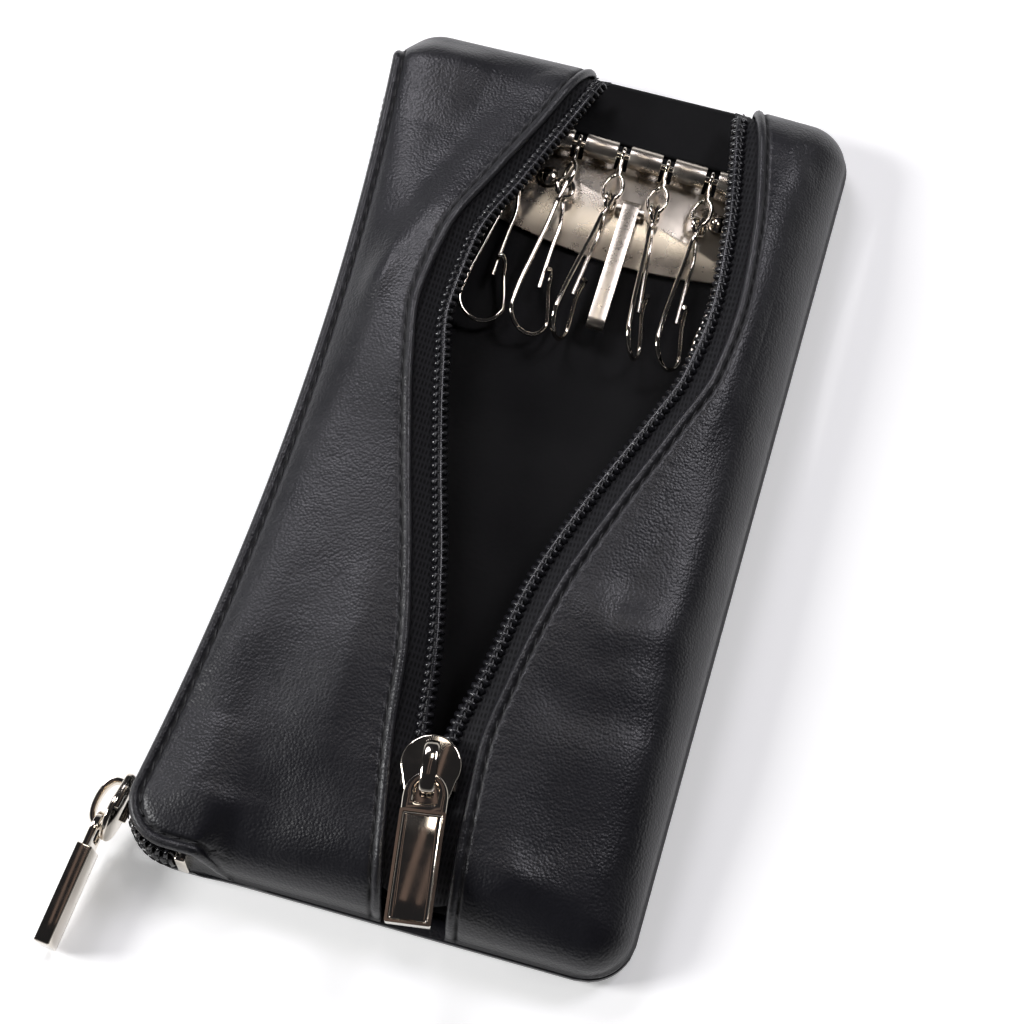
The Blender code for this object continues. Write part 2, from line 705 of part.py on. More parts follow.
def build_side_slider(nickel):
    y = SIDE_SLIDER_Y
    swing = math.atan2(y, SIDE_ARC)
    radial = Vector((math.cos(swing), math.sin(swing), 0))
    coil_face = SIDE_ARC - (COIL_HEIGHT - LEATHER) - GAP
    centre = Vector((SIDE_ARC_X, 0, 0)) + radial * coil_face
    out = -radial
    along = Vector((radial.y, -radial.x, 0))
    across = along.cross(out)
    frame = empty("side_slider_frame", (centre.x, centre.y, CHAIN_MID))
    frame.rotation_euler = Matrix((across, along, out)).transposed().to_euler()
    build_slider("side_zip_slider", frame, nickel, SIDE_SLIDER_LIP)
    hinge = empty("side_pull_hinge", (0, 0, 0), parent=frame)
    hinge.matrix_local = (Matrix.Translation((0, SIDE_PULL_HANG, bridge_middle(SIDE_PULL_HANG)))
                          @ Matrix.Rotation(math.pi + SIDE_PULL_DROOP, 4, "Z")
                          @ Matrix.Rotation(SIDE_PULL_TURN, 4, "X")
                          @ Matrix.Rotation(SIDE_PULL_ROLL, 4, "Y"))
    build_pull("side_zip_pull", hinge, nickel, SIDE_PULL_REACH)


def build_stops(nickel):
    half = COIL_WIDTH + GAP
    coil_top = tape_inner_point(-1, STOP_Y + STOP_LENGTH).z + GAP + COIL_HEIGHT
    outline = [(zip_centre(STOP_Y) + a, STOP_Y + b)
               for a, b in rounded_rect(half, STOP_LENGTH / 2, GAP)]
    prism("front_zip_stop", outline, coil_top + GAP, coil_top + GAP + STOP_THICK, nickel)
    x = SIDE_ZIP_END + GAP + STOP_LENGTH / 2
    top_y = -HALF_L + LEATHER
    outline = [(x + a, top_y - COIL_HEIGHT / 2 + b)
               for a, b in rounded_rect(STOP_LENGTH / 2, COIL_HEIGHT / 2, GAP)]
    prism("side_zip_stop", outline, CHAIN_MID - half, CHAIN_MID + half, nickel)


def knuckle_spans():
    """The stretches of rail between the six hook gaps."""
    first = -(HOOK_COUNT - 1) / 2 * HOOK_PITCH
    edges = [-RAIL_LENGTH / 2]
    for k in range(HOOK_COUNT):
        middle = first + k * HOOK_PITCH
        edges += [middle - KNUCKLE_GAP / 2, middle + KNUCKLE_GAP / 2]
    edges.append(RAIL_LENGTH / 2)
    return list(zip(edges[0::2], edges[1::2]))


def build_plate(frame, nickel):
    """Stamped plate whose upper edge is rolled round the rod, with a lug lanced up for the strip."""
    half = RAIL_LENGTH / 2
    low = -KNUCKLE_RADIUS
    top_y = -KNUCKLE_RADIUS * 1.2
    outline = [(-half, top_y), (-half, -PLATE_SIDE_DROP)]
    for k in range(1, 12):
        t = k / 12
        sag = (PLATE_DROP - PLATE_SIDE_DROP) * math.sin(math.pi * t)
        outline.append((-half + 2 * half * t, -PLATE_SIDE_DROP - sag))
    outline += [(half, -PLATE_SIDE_DROP), (half, top_y)]
    plate = prism("hook_plate", outline, low, low + PLATE, nickel)
    outer, inner = KNUCKLE_RADIUS, KNUCKLE_RADIUS - PLATE
    turns = [math.radians(a) for a in range(-90, 181, 30)]
    profile = [(outer * math.cos(a), outer * math.sin(a)) for a in turns]
    profile += [(inner * math.cos(a), inner * math.sin(a)) for a in reversed(turns)]
    profile += [(-outer * 2, low + PLATE), (-outer * 2, low)]
    for k, (start, end) in enumerate(knuckle_spans()):
        knuckle = prism("knuckle_%d_guide" % k, profile, start, end, nickel, axis="X")
        boolean(plate, knuckle, "UNION")
    for way in (-1, 1):
        hole = [(way * RIVET_REACH + a, -RIVET_DROP + b) for a, b in
                rounded_rect(RIVET_SHANK + GAP, RIVET_SHANK + GAP, RIVET_SHANK + GAP)]
        cutter = prism("rivet_hole_%d_cutter" % way, hole, low - OVERRUN, low + OVERRUN, nickel)
        boolean(plate, cutter, "DIFFERENCE")
    bar_z = lug_height()
    side = LOOP_STRIP / 2 + CLEAR
    foot = low + PLATE / 2
    arch = [(-side - LUG_EAR, foot), (-side - LUG_EAR, bar_z + LUG_BAR),
            (side + LUG_EAR, bar_z + LUG_BAR), (side + LUG_EAR, foot),
            (side, foot), (side, bar_z - LUG_BAR), (-side, bar_z - LUG_BAR), (-side, foot)]
    rings = [[(x, y, z) for x, z in arch] for y in (-LUG_DROP - LUG_BAR, -LUG_DROP + LUG_BAR)]
    lug = loft("lug_guide", rings, nickel)
    boolean(plate, lug, "UNION")
    return settle(plate, frame)


def lug_height():
    """Height of the lug's bar above the rail's axis plane, so that the strip passes under it."""
    return -KNUCKLE_RADIUS + PLATE + GAP + LOOP_THICK + GAP + LUG_BAR


def turned(name, profile, sides, mat, parent, location):
    """Spins a profile of (radius, height) about Z."""
    rings = []
    for radius, height in profile:
        rings.append([(radius * math.cos(2 * math.pi * k / sides),
                       radius * math.sin(2 * math.pi * k / sides), height) for k in range(sides)])
    obj = loft(name, rings, mat, parent)
    obj.location = location
    return obj


def build_rivet(name, way, frame, nickel):
    plate_top = -KNUCKLE_RADIUS + PLATE
    wall_low = -KNUCKLE_RADIUS - GAP - LINING
    head = RIVET_HEAD
    profile = (
        (head * 0.8, wall_low - GAP - LINING), (head * 0.8, wall_low - GAP),
        (RIVET_SHANK, wall_low - GAP), (RIVET_SHANK, plate_top + GAP), (head, plate_top + GAP),
        (head * 0.96, plate_top + GAP + head * 0.2), (head * 0.7, plate_top + GAP + head * 0.45),
        (head * 0.3, plate_top + GAP + head * 0.58),
    )
    return turned(name, profile, 14, nickel, frame, (way * RIVET_REACH, -RIVET_DROP, 0))


def build_rod(frame, nickel):
    half = RAIL_LENGTH / 2
    rings = []
    for x, radius in ((-half - GAP - ROD_HEAD, ROD_HEAD * 0.8), (-half - GAP - ROD_HEAD / 4, ROD_HEAD),
                      (-half - GAP, ROD_HEAD), (-half - GAP, ROD_RADIUS), (half + GAP, ROD_RADIUS),
                      (half + GAP, ROD_HEAD), (half + GAP + ROD_HEAD / 4, ROD_HEAD),
                      (half + GAP + ROD_HEAD, ROD_HEAD * 0.8)):
        rings.append([(x, radius * math.cos(math.radians(a)), radius * math.sin(math.radians(a)))
                      for a in range(0, 360, 36)])
    return loft("hook_rod", rings, nickel, frame)


def link_half_width(down):
    """Half the distance between the link's two strands, that far down from the rod."""
    eye = math.sqrt(max(LINK_EYE ** 2 - down ** 2, 0.0)) if down < LINK_EYE else 0.0
    off = (down - LINK_RING_AT) / LINK_RING_LENGTH
    ring = LINK_RING_WIDTH * math.sqrt(max(1 - off ** 2, 0.0))
    return max(eye, ring, LINK_NECK)


def link_path(twist):
    """A wire loop: an eye round the rod, two strands turned by the twist, and an oval ring."""
    end = LINK_RING_AT + LINK_RING_LENGTH
    downs = [-LINK_EYE * math.cos(math.radians(a)) for a in (30, 60, 90, 120, 150)]
    downs += [LINK_EYE + (LINK_RING_AT - LINK_RING_LENGTH - LINK_EYE) * k / 3 for k in (1, 2, 3)]
    downs += [LINK_RING_AT - LINK_RING_LENGTH * math.cos(math.radians(a)) for a in (40, 70, 100, 130, 155)]
    strand = []
    for down in downs:
        turn = twist * ease(down, LINK_EYE, LINK_RING_AT - LINK_RING_LENGTH / 2)
        half = link_half_width(down)
        if down < -LINK_EYE / 2 or down > end - LINK_RING_LENGTH / 3:
            centre = 0.0 if down < 0 else LINK_RING_AT
            size = LINK_EYE if down < 0 else LINK_RING_LENGTH
            width = LINK_EYE if down < 0 else LINK_RING_WIDTH
            half = width * math.sqrt(max(1 - ((down - centre) / size) ** 2, 0.0))
        strand.append((down, turn, half))
    path = [Vector((0, LINK_EYE, 0))]
    path += [Vector((half * math.sin(turn), -down, half * math.cos(turn))) for down, turn, half in strand]
    path.append(Vector((0, -end, 0)))
    path += [Vector((-half * math.sin(turn), -down, -half * math.cos(turn)))
             for down, turn, half in reversed(strand)]
    return path


def hook_path():
    """Spring hook in one wire: free leg, eye, fixed leg, wide loop and the catch over the free leg."""
    eye, loop, length = HOOK_EYE, HOOK_LOOP, HOOK_LENGTH
    leg = 2 * WIRE + GAP
    free = [(eye * 0.3, -length * 0.80, 0), (eye * 0.45, -length * 0.62, 0),
            (eye * 0.6, -length * 0.38, 0), (leg / 2, -eye * 1.7, 0)]
    around = [(eye * math.cos(math.radians(a)), eye * math.sin(math.radians(a)), 0)
              for a in (-40, 0, 45, 90, 135, 180, 220)]
    fixed = [(-leg / 2, -eye * 1.7, 0), (-loop * 0.42, -length * 0.40, 0),
             (-loop * 0.90, -length * 0.80, 0)]
    bottom = [(loop * math.cos(math.radians(a)), -length + loop * math.sin(math.radians(a)), 0)
              for a in (190, 225, 270, 315, 350)]
    lift = 2 * WIRE + GAP
    catch = [(loop * 0.66, -length * 0.80, 0), (loop * 0.5, -length * 0.66, lift * 0.2),
             (loop * 0.34, -length * 0.60, lift), (-loop * 0.02, -length * 0.60, lift)]
    return curve_through(free + around + fixed + bottom + catch, 2)


def build_hooks(frame, nickel):
    first = -(HOOK_COUNT - 1) / 2 * HOOK_PITCH
    for k, (twist, roll, turn, lift, link_lift) in enumerate(HOOK_POSES):
        number = k + 1
        swing = empty("link_%d_hinge" % number, (first + k * HOOK_PITCH, 0, 0),
                      (-math.radians(link_lift), 0, 0), frame)
        wire("key_link_%d" % number, link_path(math.radians(twist)), WIRE, 5, nickel, swing, closed=True)
        hang = LINK_RING_AT + LINK_RING_LENGTH + HOOK_SLACK
        pivot = empty("hook_%d_hinge" % number, (0, -hang, 0), parent=swing)
        pivot.matrix_local = (Matrix.Translation((0, -hang, 0))
                              @ Matrix.Rotation(-math.radians(lift - link_lift), 4, "X")
                              @ Matrix.Rotation(math.radians(turn), 4, "Z")
                              @ Matrix.Rotation(math.radians(roll), 4, "Y"))
        wire("key_hook_%d" % number, hook_path(), WIRE, 5, nickel, pivot)


def build_key_loop(frame, nickel):
    """A flat strip bent into a long closed loop, hung on the lug's bar."""
    inner = LUG_BAR + GAP
    outer = inner + LOOP_THICK
    hinge = empty("key_loop_hinge", (0, -LUG_DROP, lug_height()), (-math.radians(2), 0, 0), frame)
    run = LOOP_LENGTH - 2 * outer
    arcs = [math.radians(a) for a in range(0, 181, 30)]
    outline = [(outer * math.sin(a), outer * math.cos(a)) for a in arcs]
    outline += [(-run - outer * math.sin(a), -outer * math.cos(a)) for a in arcs]
    hole = [(inner * math.sin(a), inner * math.cos(a)) for a in arcs]
    hole += [(-run - inner * math.sin(a), -inner * math.cos(a)) for a in arcs]
    bm = bmesh.new()
    levels = (-LOOP_STRIP / 2, LOOP_STRIP / 2)
    sides = [[[bm.verts.new((x, a, b)) for a, b in ring] for ring in (outline, hole)] for x in levels]
    count = len(outline)
    for i in range(count):
        j = (i + 1) % count
        for ring in (0, 1):
            bm.faces.new((sides[0][ring][i], sides[0][ring][j], sides[1][ring][j], sides[1][ring][i]))
        for level in (0, 1):
            bm.faces.new((sides[level][0][i], sides[level][0][j], sides[level][1][j], sides[level][1][i]))
    finish_mesh("car_key_loop", bm, nickel, hinge)


def build():
    clear_scene()
    leather = material("leather", (0.012, 0.012, 0.013), 0.42)
    lining = material("lining", (0.010, 0.010, 0.011), 0.8)
    cloth = material("zip_tape", (0.008, 0.008, 0.009), 0.85)
    nylon = material("zip_coil", (0.012, 0.012, 0.013), 0.35)
    nickel = material("nickel", (0.66, 0.64, 0.60), 0.18, 1.0)

    build_back_panel(leather)
    divider = build_divider(lining)
    build_front_panel("front_panel_left", -1, leather)
    build_front_panel("front_panel_right", 1, leather)

    build_front_tape("front_zip_tape_left", -1, cloth)
    build_front_tape("front_zip_tape_right", 1, cloth)
    build_front_coil("front_zip_coil_left", -1, nylon)
    build_front_coil("front_zip_coil_right", 1, nylon)
    build_side_tape("side_zip_tape_back", SIDE_TAPE_FOOT, CHAIN_MID - GAP, cloth)
    build_side_tape("side_zip_tape_front", CHAIN_MID + GAP, POCKET_SEAM - GAP, cloth)
    build_side_chain(nylon)
    build_front_slider(nickel)
    build_side_slider(nickel)
    build_stops(nickel)

    frame = empty("rail_frame", (RAIL_X, RAIL_Y, RAIL_Z), (0, RAIL_TILT, 0))
    build_plate(frame, nickel)
    build_rod(frame, nickel)
    build_hooks(frame, nickel)
    build_key_loop(frame, nickel)
    for name, way in (("plate_rivet_left", -1), ("plate_rivet_right", 1)):
        build_rivet(name, way, frame, nickel)
        hole = [(way * RIVET_REACH + a, -RIVET_DROP + b) for a, b in
                rounded_rect(RIVET_SHANK + GAP, RIVET_SHANK + GAP, RIVET_SHANK + GAP)]
        low = -KNUCKLE_RADIUS - GAP - LINING - OVERRUN
        cutter = prism(name + "_wall_cutter", hole, low, low + 2 * OVERRUN + LINING, lining, frame)
        boolean(divider, cutter, "DIFFERENCE")


build()
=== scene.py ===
# %% [markdown]
# # A zipped leather key case
# The case lies on its back with its front zip open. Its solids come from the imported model, and
# this notebook dresses them: sewn leather, coil zips and nickel hardware. Everything is in metres.

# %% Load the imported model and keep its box
import functools
import math

import bmesh
import bpy
from mathutils import Matrix, Vector, noise


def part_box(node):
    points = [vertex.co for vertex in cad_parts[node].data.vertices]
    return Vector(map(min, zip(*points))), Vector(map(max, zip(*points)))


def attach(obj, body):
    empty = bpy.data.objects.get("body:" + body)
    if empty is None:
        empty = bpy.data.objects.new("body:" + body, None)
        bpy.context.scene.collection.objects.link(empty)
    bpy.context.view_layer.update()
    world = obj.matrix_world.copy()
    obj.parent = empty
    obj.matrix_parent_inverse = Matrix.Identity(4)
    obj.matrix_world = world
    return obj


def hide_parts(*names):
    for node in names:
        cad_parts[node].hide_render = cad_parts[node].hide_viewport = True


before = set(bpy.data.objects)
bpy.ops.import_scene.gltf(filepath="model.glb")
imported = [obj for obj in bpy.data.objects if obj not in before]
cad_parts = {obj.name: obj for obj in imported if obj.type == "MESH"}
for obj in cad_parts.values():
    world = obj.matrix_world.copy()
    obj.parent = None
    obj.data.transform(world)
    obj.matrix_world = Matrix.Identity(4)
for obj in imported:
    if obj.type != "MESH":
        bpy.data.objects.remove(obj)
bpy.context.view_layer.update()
scene = bpy.context.scene
scene.view_settings.view_transform = "Standard"

# %% [markdown]
# ## Camera
# A product photograph like this is taken with a long lens from above. The camera could be aimed
# by hand, but an angle round the case, a height angle and a distance are easier to correct.


# %% Camera
def new_object(name, data):
    item = bpy.data.objects.new(name, data)
    scene.collection.objects.link(item)
    return item


MM = 0.001
VIEW_TURN, VIEW_HEIGHT = math.radians(16), math.radians(67)
VIEW_DISTANCE, VIEW_TARGET = 0.400, Vector((0.0015, -0.0037, 0.0))
toward = Vector((math.sin(VIEW_TURN) * math.cos(VIEW_HEIGHT),
                 -math.cos(VIEW_TURN) * math.cos(VIEW_HEIGHT), math.sin(VIEW_HEIGHT)))
camera = new_object("camera", bpy.data.cameras.new("camera"))
camera.location = VIEW_TARGET + toward * VIEW_DISTANCE
camera.rotation_euler = toward.to_track_quat("Z", "Y").to_euler()
camera.data.lens = 95.4
camera.data.sensor_width = 36.0
camera.data.clip_start = 0.01
scene.camera = camera
print("camera at", tuple(round(v, 4) for v in camera.location))

# %% [markdown]
# ## The shape of the case
# The leather follows a few measured curves: how far the zip is open at each height, and how high
# its lips stand. These are the measures that the solids were drawn with, repeated here so that
# the dressed leather lies on the solids.

# %% Measures and the table of the open zip
HALF_W, HALF_L, CORNER = 0.036, 0.069, 0.007
LEATHER, LINING, TAPE, GAP, CLEAR = 0.0012, 0.0008, 0.0005, 0.0003, 0.00045
FLANGE, HIDDEN_FLANGE, BACK_RIM, BACK_ROLL = 0.0018, 0.0003, 0.003, 0.003
FRONT_SEAM, POCKET_SEAM, CHAIN_MID = 0.0033, 0.011, 0.006
SIDE_TAPE_FOOT = 0.0023
LIP_HEIGHT, SIDE_CROWN, END_CROWN = 0.018, 0.0145, 0.80
EDGE_ROUND, POCKET_ROUND = 0.0095, 0.006
POCKET_ACROSS = (HALF_W * -0.70, HALF_W * -0.55)
POCKET_UP = (HALF_L * 0.863, HALF_L * 0.955)
PITCH, COIL_WIDTH, COIL_HEIGHT = 0.0012, 0.0027, 0.0018
KNUCKLE, RAIL_X, RAIL_Y, RAIL_Z, RAIL_TILT = 0.00185, 0.0059, 0.0549, 0.007, math.radians(4)
TAPE_DROP, ZIP_END = 0.0014, 0.0025
STRAIGHT = HALF_L - CORNER
CORNER_RUN = CORNER * math.pi / 2
DRAW_IN = 0.004
ARC = (STRAIGHT ** 2 + DRAW_IN ** 2) / (2 * DRAW_IN)
ARC_X = -HALF_W + DRAW_IN - ARC

# y, left leather edge, left coil edge, right coil edge, right leather edge, left lip, right lip
ZIP_SHARES = (
    (1.000, -0.144, -0.033, 0.442, 0.542, 0.70, 0.70),
    (0.835, -0.236, -0.133, 0.500, 0.622, 0.75, 0.76),
    (0.619, -0.378, -0.256, 0.567, 0.694, 0.89, 0.86),
    (0.433, -0.489, -0.358, 0.594, 0.719, 1.00, 0.89),
    (0.275, -0.517, -0.372, 0.564, 0.694, 1.00, 0.89),
    (0.136, -0.469, -0.317, 0.475, 0.606, 1.00, 0.89),
    (-0.078, -0.356, -0.206, 0.319, 0.458, 0.94, 0.89),
    (-0.287, -0.233, -0.086, 0.200, 0.333, 0.92, 0.89),
    (-0.494, -0.131, 0.006, 0.139, 0.261, 0.89, 0.87),
    (-0.638, -0.094, 0.047, 0.086, 0.231, 0.845, 0.845),
    (-0.739, -0.058, 0.0917, 0.0917, 0.242, 0.822, 0.822),
    (-0.855, -0.012, 0.1250, 0.1250, 0.261, 0.778, 0.778),
    (-1.000, 0.042, 0.1667, 0.1667, 0.292, 0.750, 0.750),
)
CLOSED = 10


# %% Curves read from the table
def ease(value, start, end):
    """0 before start, 1 after end, and a soft rise between them."""
    t = min(max((value - start) / (end - start), 0.0), 1.0)
    return t * t * (3 - 2 * t)


def between(start, end, share):
    return start + (end - start) * share


@functools.lru_cache(maxsize=None)
def column(y, index):
    """One column of the table at a height y, as a curve without overshoot."""
    share = min(max(y / HALF_L, -1.0), 1.0)
    xs = [row[0] for row in ZIP_SHARES]
    ys = [row[index] for row in ZIP_SHARES]
    last = len(xs) - 1
    slopes = [(ys[i + 1] - ys[i]) / (xs[i + 1] - xs[i]) for i in range(last)]
    bends = [slopes[0]]
    for a, b in zip(slopes, slopes[1:]):
        bends.append(2 * a * b / (a + b) if a * b > 0 else 0.0)
    bends.append(slopes[-1])
    k = 0
    while k < last - 1 and share < xs[k + 1]:
        k += 1
    h = xs[k + 1] - xs[k]
    t = (share - xs[k]) / h
    return (ys[k] * (2 * t ** 3 - 3 * t ** 2 + 1) + bends[k] * h * (t ** 3 - 2 * t ** 2 + t)
            + ys[k + 1] * (3 * t ** 2 - 2 * t ** 3) + bends[k + 1] * h * (t ** 3 - t ** 2))


def zip_centre(y):
    upper, lower = ZIP_SHARES[CLOSED], ZIP_SHARES[-1]
    return HALF_W * between(upper[2], lower[2], (y / HALF_L - upper[0]) / (lower[0] - upper[0]))


def leather_edge(side, y):
    return HALF_W * column(y, 1 if side < 0 else 4)


def coil_edge(side, y):
    closed = y <= HALF_L * ZIP_SHARES[CLOSED][0]
    x = zip_centre(y) if closed else HALF_W * column(y, 2 if side < 0 else 3)
    return x + side * GAP / 2


print("mouth is", round((leather_edge(1, 0.03) - leather_edge(-1, 0.03)) / MM, 1), "mm wide")


# %% Outline of the case
def left_side(y):
    return ARC_X + math.sqrt(ARC ** 2 - y ** 2)


def outer_x(side, y):
    past = min(abs(y) - STRAIGHT, CORNER)
    if past > 0:
        return side * (HALF_W - CORNER + math.sqrt(CORNER ** 2 - past ** 2))
    return HALF_W if side > 0 else left_side(y)


def edge_distance(x, y):
    """How far inside the outline a point lies."""
    to_end = HALF_L - abs(y)
    to_side = HALF_W - x if x > 0 else x - left_side(max(min(y, STRAIGHT), -STRAIGHT))
    in_x, in_y = CORNER - to_side, CORNER - to_end
    if in_x > 0 and in_y > 0:
        return max(CORNER - math.hypot(in_x, in_y), 0.0)
    return max(min(to_side, to_end), 0.0)


def outline_run(x, y):
    """A length that grows along the outline, so that stitches keep their pitch round a corner."""
    in_x, in_y = abs(x) - (HALF_W - CORNER), abs(y) - STRAIGHT
    if in_x > 0 and in_y > 0:
        return STRAIGHT + CORNER * math.atan2(in_y, in_x)
    if in_y > in_x:
        return STRAIGHT + CORNER_RUN + HALF_W - CORNER - abs(x)
    return abs(y)


def pocket_share(x, y):
    """1 where the side zip lies between the front and the back, 0 elsewhere."""
    return (1 - ease(x, *POCKET_ACROSS)) * (1 - ease(y, *POCKET_UP))


# %% Heights of the leather and of the wall inside
def quarter_round(away, reach):
    """The rise of a rounded edge: 0 at its foot, 1 from reach onwards."""
    return math.sqrt(1 - (1 - min(max(away / reach, 0.0), 1.0)) ** 2)


def front_seam(pocket):
    return between(FRONT_SEAM, POCKET_SEAM, pocket)


def back_rim(pocket):
    return between(BACK_RIM, SIDE_TAPE_FOOT - GAP, pocket)


def front_z(side, x, y):
    """The front leather's top. Its sewn flange shows beside the side zip, and hides elsewhere."""
    pocket = pocket_share(x, y)
    seam = front_seam(pocket) + LEATHER
    lip = LIP_HEIGHT * column(y, 5 if side < 0 else 6)
    crown = SIDE_CROWN * (END_CROWN + (1 - END_CROWN) * (1 - ease(abs(y), HALF_L / 2, HALF_L)))
    crown += max(POCKET_SEAM + 2 * LEATHER - crown, 0.0) * pocket
    outer = outer_x(side, y)
    top = between(crown, lip, ease((x - outer) / (leather_edge(side, y) - outer), 0.0, 1.0))
    away = edge_distance(x, y) - between(HIDDEN_FLANGE, FLANGE, pocket)
    return between(seam, top, quarter_round(away, between(EDGE_ROUND, POCKET_ROUND, pocket)))


def front_normal(side, x, y):
    step = LEATHER / 4
    return Vector((front_z(side, x - step, y) - front_z(side, x + step, y),
                   front_z(side, x, y - step) - front_z(side, x, y + step), 2 * step)).normalized()


def under_leather(side, x, y):
    """A point just under the front leather."""
    return Vector((x, y, front_z(side, x, y))) - front_normal(side, x, y) * (LEATHER + CLEAR)


def tape_inner_point(side, y):
    """The top of the front tape, straight under its coil's inner edge."""
    point = under_leather(side, leather_edge(side, y), y)
    return Vector((coil_edge(side, y), y, point.z - TAPE_DROP))


def divider_z(x, y):
    plane = RAIL_Z - KNUCKLE - GAP - (x - RAIL_X) * math.tan(RAIL_TILT)
    reach = HALF_L - RAIL_Y - KNUCKLE
    held = ease(HALF_L - abs(y), FLANGE + LEATHER, reach)
    return between(FRONT_SEAM + GAP, plane, max(held, pocket_share(x, y) if y < 0 else 0.0))


# %% [markdown]
# ## Finishes
# Each finish is a node material. Grain and smudges are used by more than one of them, so they
# are node groups that put out heights and masks. The shader stays in the material.


def plug(tree, socket, value):
    """Links a node's output into a socket, or writes a plain value or colour on it."""
    if isinstance(value, bpy.types.NodeSocket):
        tree.links.new(value, socket)
    else:
        socket.default_value = (*value, 1.0) if socket.type == "RGBA" else value


def add(tree, kind, sockets=(), **settings):
    """Adds a node. A setting is a field or a named socket, other sockets come in pairs."""
    node = tree.nodes.new(kind)
    for key, value in settings.items():
        if hasattr(node, key):
            setattr(node, key, value)
        else:
            plug(tree, node.inputs[key], value)
    for socket, value in sockets:
        plug(tree, node.inputs[socket], value)
    return node


def ramp(tree, source, low, high, to_low=0.0, to_high=1.0):
    return add(tree, "ShaderNodeMapRange", enumerate((source, low, high, to_low, to_high)),
               interpolation_type="SMOOTHSTEP").outputs[0]


def maths(tree, operation, first, second):
    return add(tree, "ShaderNodeMath", enumerate((first, second)), operation=operation).outputs[0]


def blend_colour(tree, share, first, second):
    node = add(tree, "ShaderNodeMix", [(0, share), (6, first), (7, second)], data_type="RGBA")
    return node.outputs[2]


def new_material(name, colour, roughness, metallic=0.0):
    material = bpy.data.materials.new(name)
    material.use_nodes = True
    tree = material.node_tree
    shader = tree.nodes["Principled BSDF"]
    for label, value in (("Base Color", colour), ("Roughness", roughness), ("Metallic", metallic)):
        plug(tree, shader.inputs[label], value)
    return material, tree, shader


def dress(tree, shader, colour, roughness=None, height=None, depth=0.0, strength=0.6):
    """Feeds the shader from nodes: its colour, and its roughness and bump where they are given."""
    plug(tree, shader.inputs["Base Color"], colour)
    if roughness is not None:
        plug(tree, shader.inputs["Roughness"], roughness)
    if height is not None:
        bump = add(tree, "ShaderNodeBump", Height=height, Strength=strength, Distance=depth)
        plug(tree, shader.inputs["Normal"], bump.outputs["Normal"])


# %% Two node groups: leather grain, and the smudges and scratches of handled metal
def new_group(name, scale, outputs):
    """A group with a place and a scale going in, and two values coming out."""
    group = bpy.data.node_groups.new(name, "ShaderNodeTree")
    group.interface.new_socket("Place", in_out="INPUT", socket_type="NodeSocketVector")
    size = group.interface.new_socket("Scale", in_out="INPUT", socket_type="NodeSocketFloat")
    size.default_value = scale
    for label in outputs:
        group.interface.new_socket(label, in_out="OUTPUT", socket_type="NodeSocketFloat")
    into = group.nodes.new("NodeGroupInput").outputs
    return group, into[0], into[1], group.nodes.new("NodeGroupOutput").inputs


def noise_at(tree, place, scale, **settings):
    return add(tree, "ShaderNodeTexNoise", Vector=place, Scale=scale, **settings).outputs[0]


grain, spot, size, ends = new_group("leather_grain", 1.0, ("Height", "Mottle"))
pebble = add(grain, "ShaderNodeTexVoronoi", Vector=spot, Scale=size, feature="F1", Randomness=0.9)
pebbles = maths(grain, "SUBTRACT", 1.0, pebble.outputs["Distance"])
fine = noise_at(grain, spot, maths(grain, "MULTIPLY", size, 0.55), Detail=4.0, Roughness=0.6)
plug(grain, ends["Height"], maths(grain, "ADD", pebbles, maths(grain, "MULTIPLY", fine, 0.5)))
plug(grain, ends["Mottle"], noise_at(grain, spot, maths(grain, "MULTIPLY", size, 0.045), Detail=3.0))

smudge, spot, size, ends = new_group("metal_smudge", 250.0, ("Cloud", "Scratch"))
plug(smudge, ends["Cloud"], noise_at(smudge, spot, size, Detail=5.0, Roughness=0.6))
drawn = add(smudge, "ShaderNodeMapping", Vector=spot, Scale=(1.0, 14.0, 4.0)).outputs[0]
hairs = noise_at(smudge, drawn, maths(smudge, "MULTIPLY", size, 1.6), Detail=2.0)
plug(smudge, ends["Scratch"], hairs)
print("groups", grain.name, smudge.name)


# %% [markdown]
# ## Leather
# Smooth calf leather is nearly black, and most of what the eye sees is its soft shine broken by
# a fine pebble grain. The turned edges are rubbed smoother and a little greyer. The sewn grooves
# are duller, and their colour is painted near black as shade in the groove. A vertex attribute
# carries those places from the mesh to the material.

# %% Leather, and the lining, a matt split with a coarser, flatter grain
def place_of(tree):
    return add(tree, "ShaderNodeTexCoord").outputs["Object"]


def use_group(tree, group, scale):
    outputs = add(tree, "ShaderNodeGroup", [(0, place_of(tree)), (1, scale)], node_tree=group).outputs
    return outputs[0], outputs[1]


leather, tree, shader = new_material("leather", (0.008, 0.008, 0.0095), 0.42)
height, mottle = use_group(tree, grain, 2400.0)
wear, sewn = (add(tree, "ShaderNodeAttribute", attribute_name=mark).outputs["Fac"]
              for mark in ("rubbed", "groove_and_shade"))
tone = blend_colour(tree, mottle, (0.0055, 0.0055, 0.0078), (0.0095, 0.0095, 0.0130))
tone = blend_colour(tree, maths(tree, "MULTIPLY", wear, 0.6), tone, (0.018, 0.018, 0.020))
# painted shade: the leather's colour is darkened near black in the sewn grooves
tone = blend_colour(tree, sewn, tone, (0.001, 0.001, 0.0012))
rough = ramp(tree, mottle, 0.3, 0.7, 0.35, 0.42)
rough = maths(tree, "SUBTRACT", rough, maths(tree, "MULTIPLY", wear, 0.02))
rough = maths(tree, "ADD", rough, maths(tree, "MULTIPLY", sewn, 0.45))
dress(tree, shader, tone, rough, height, 0.00008)

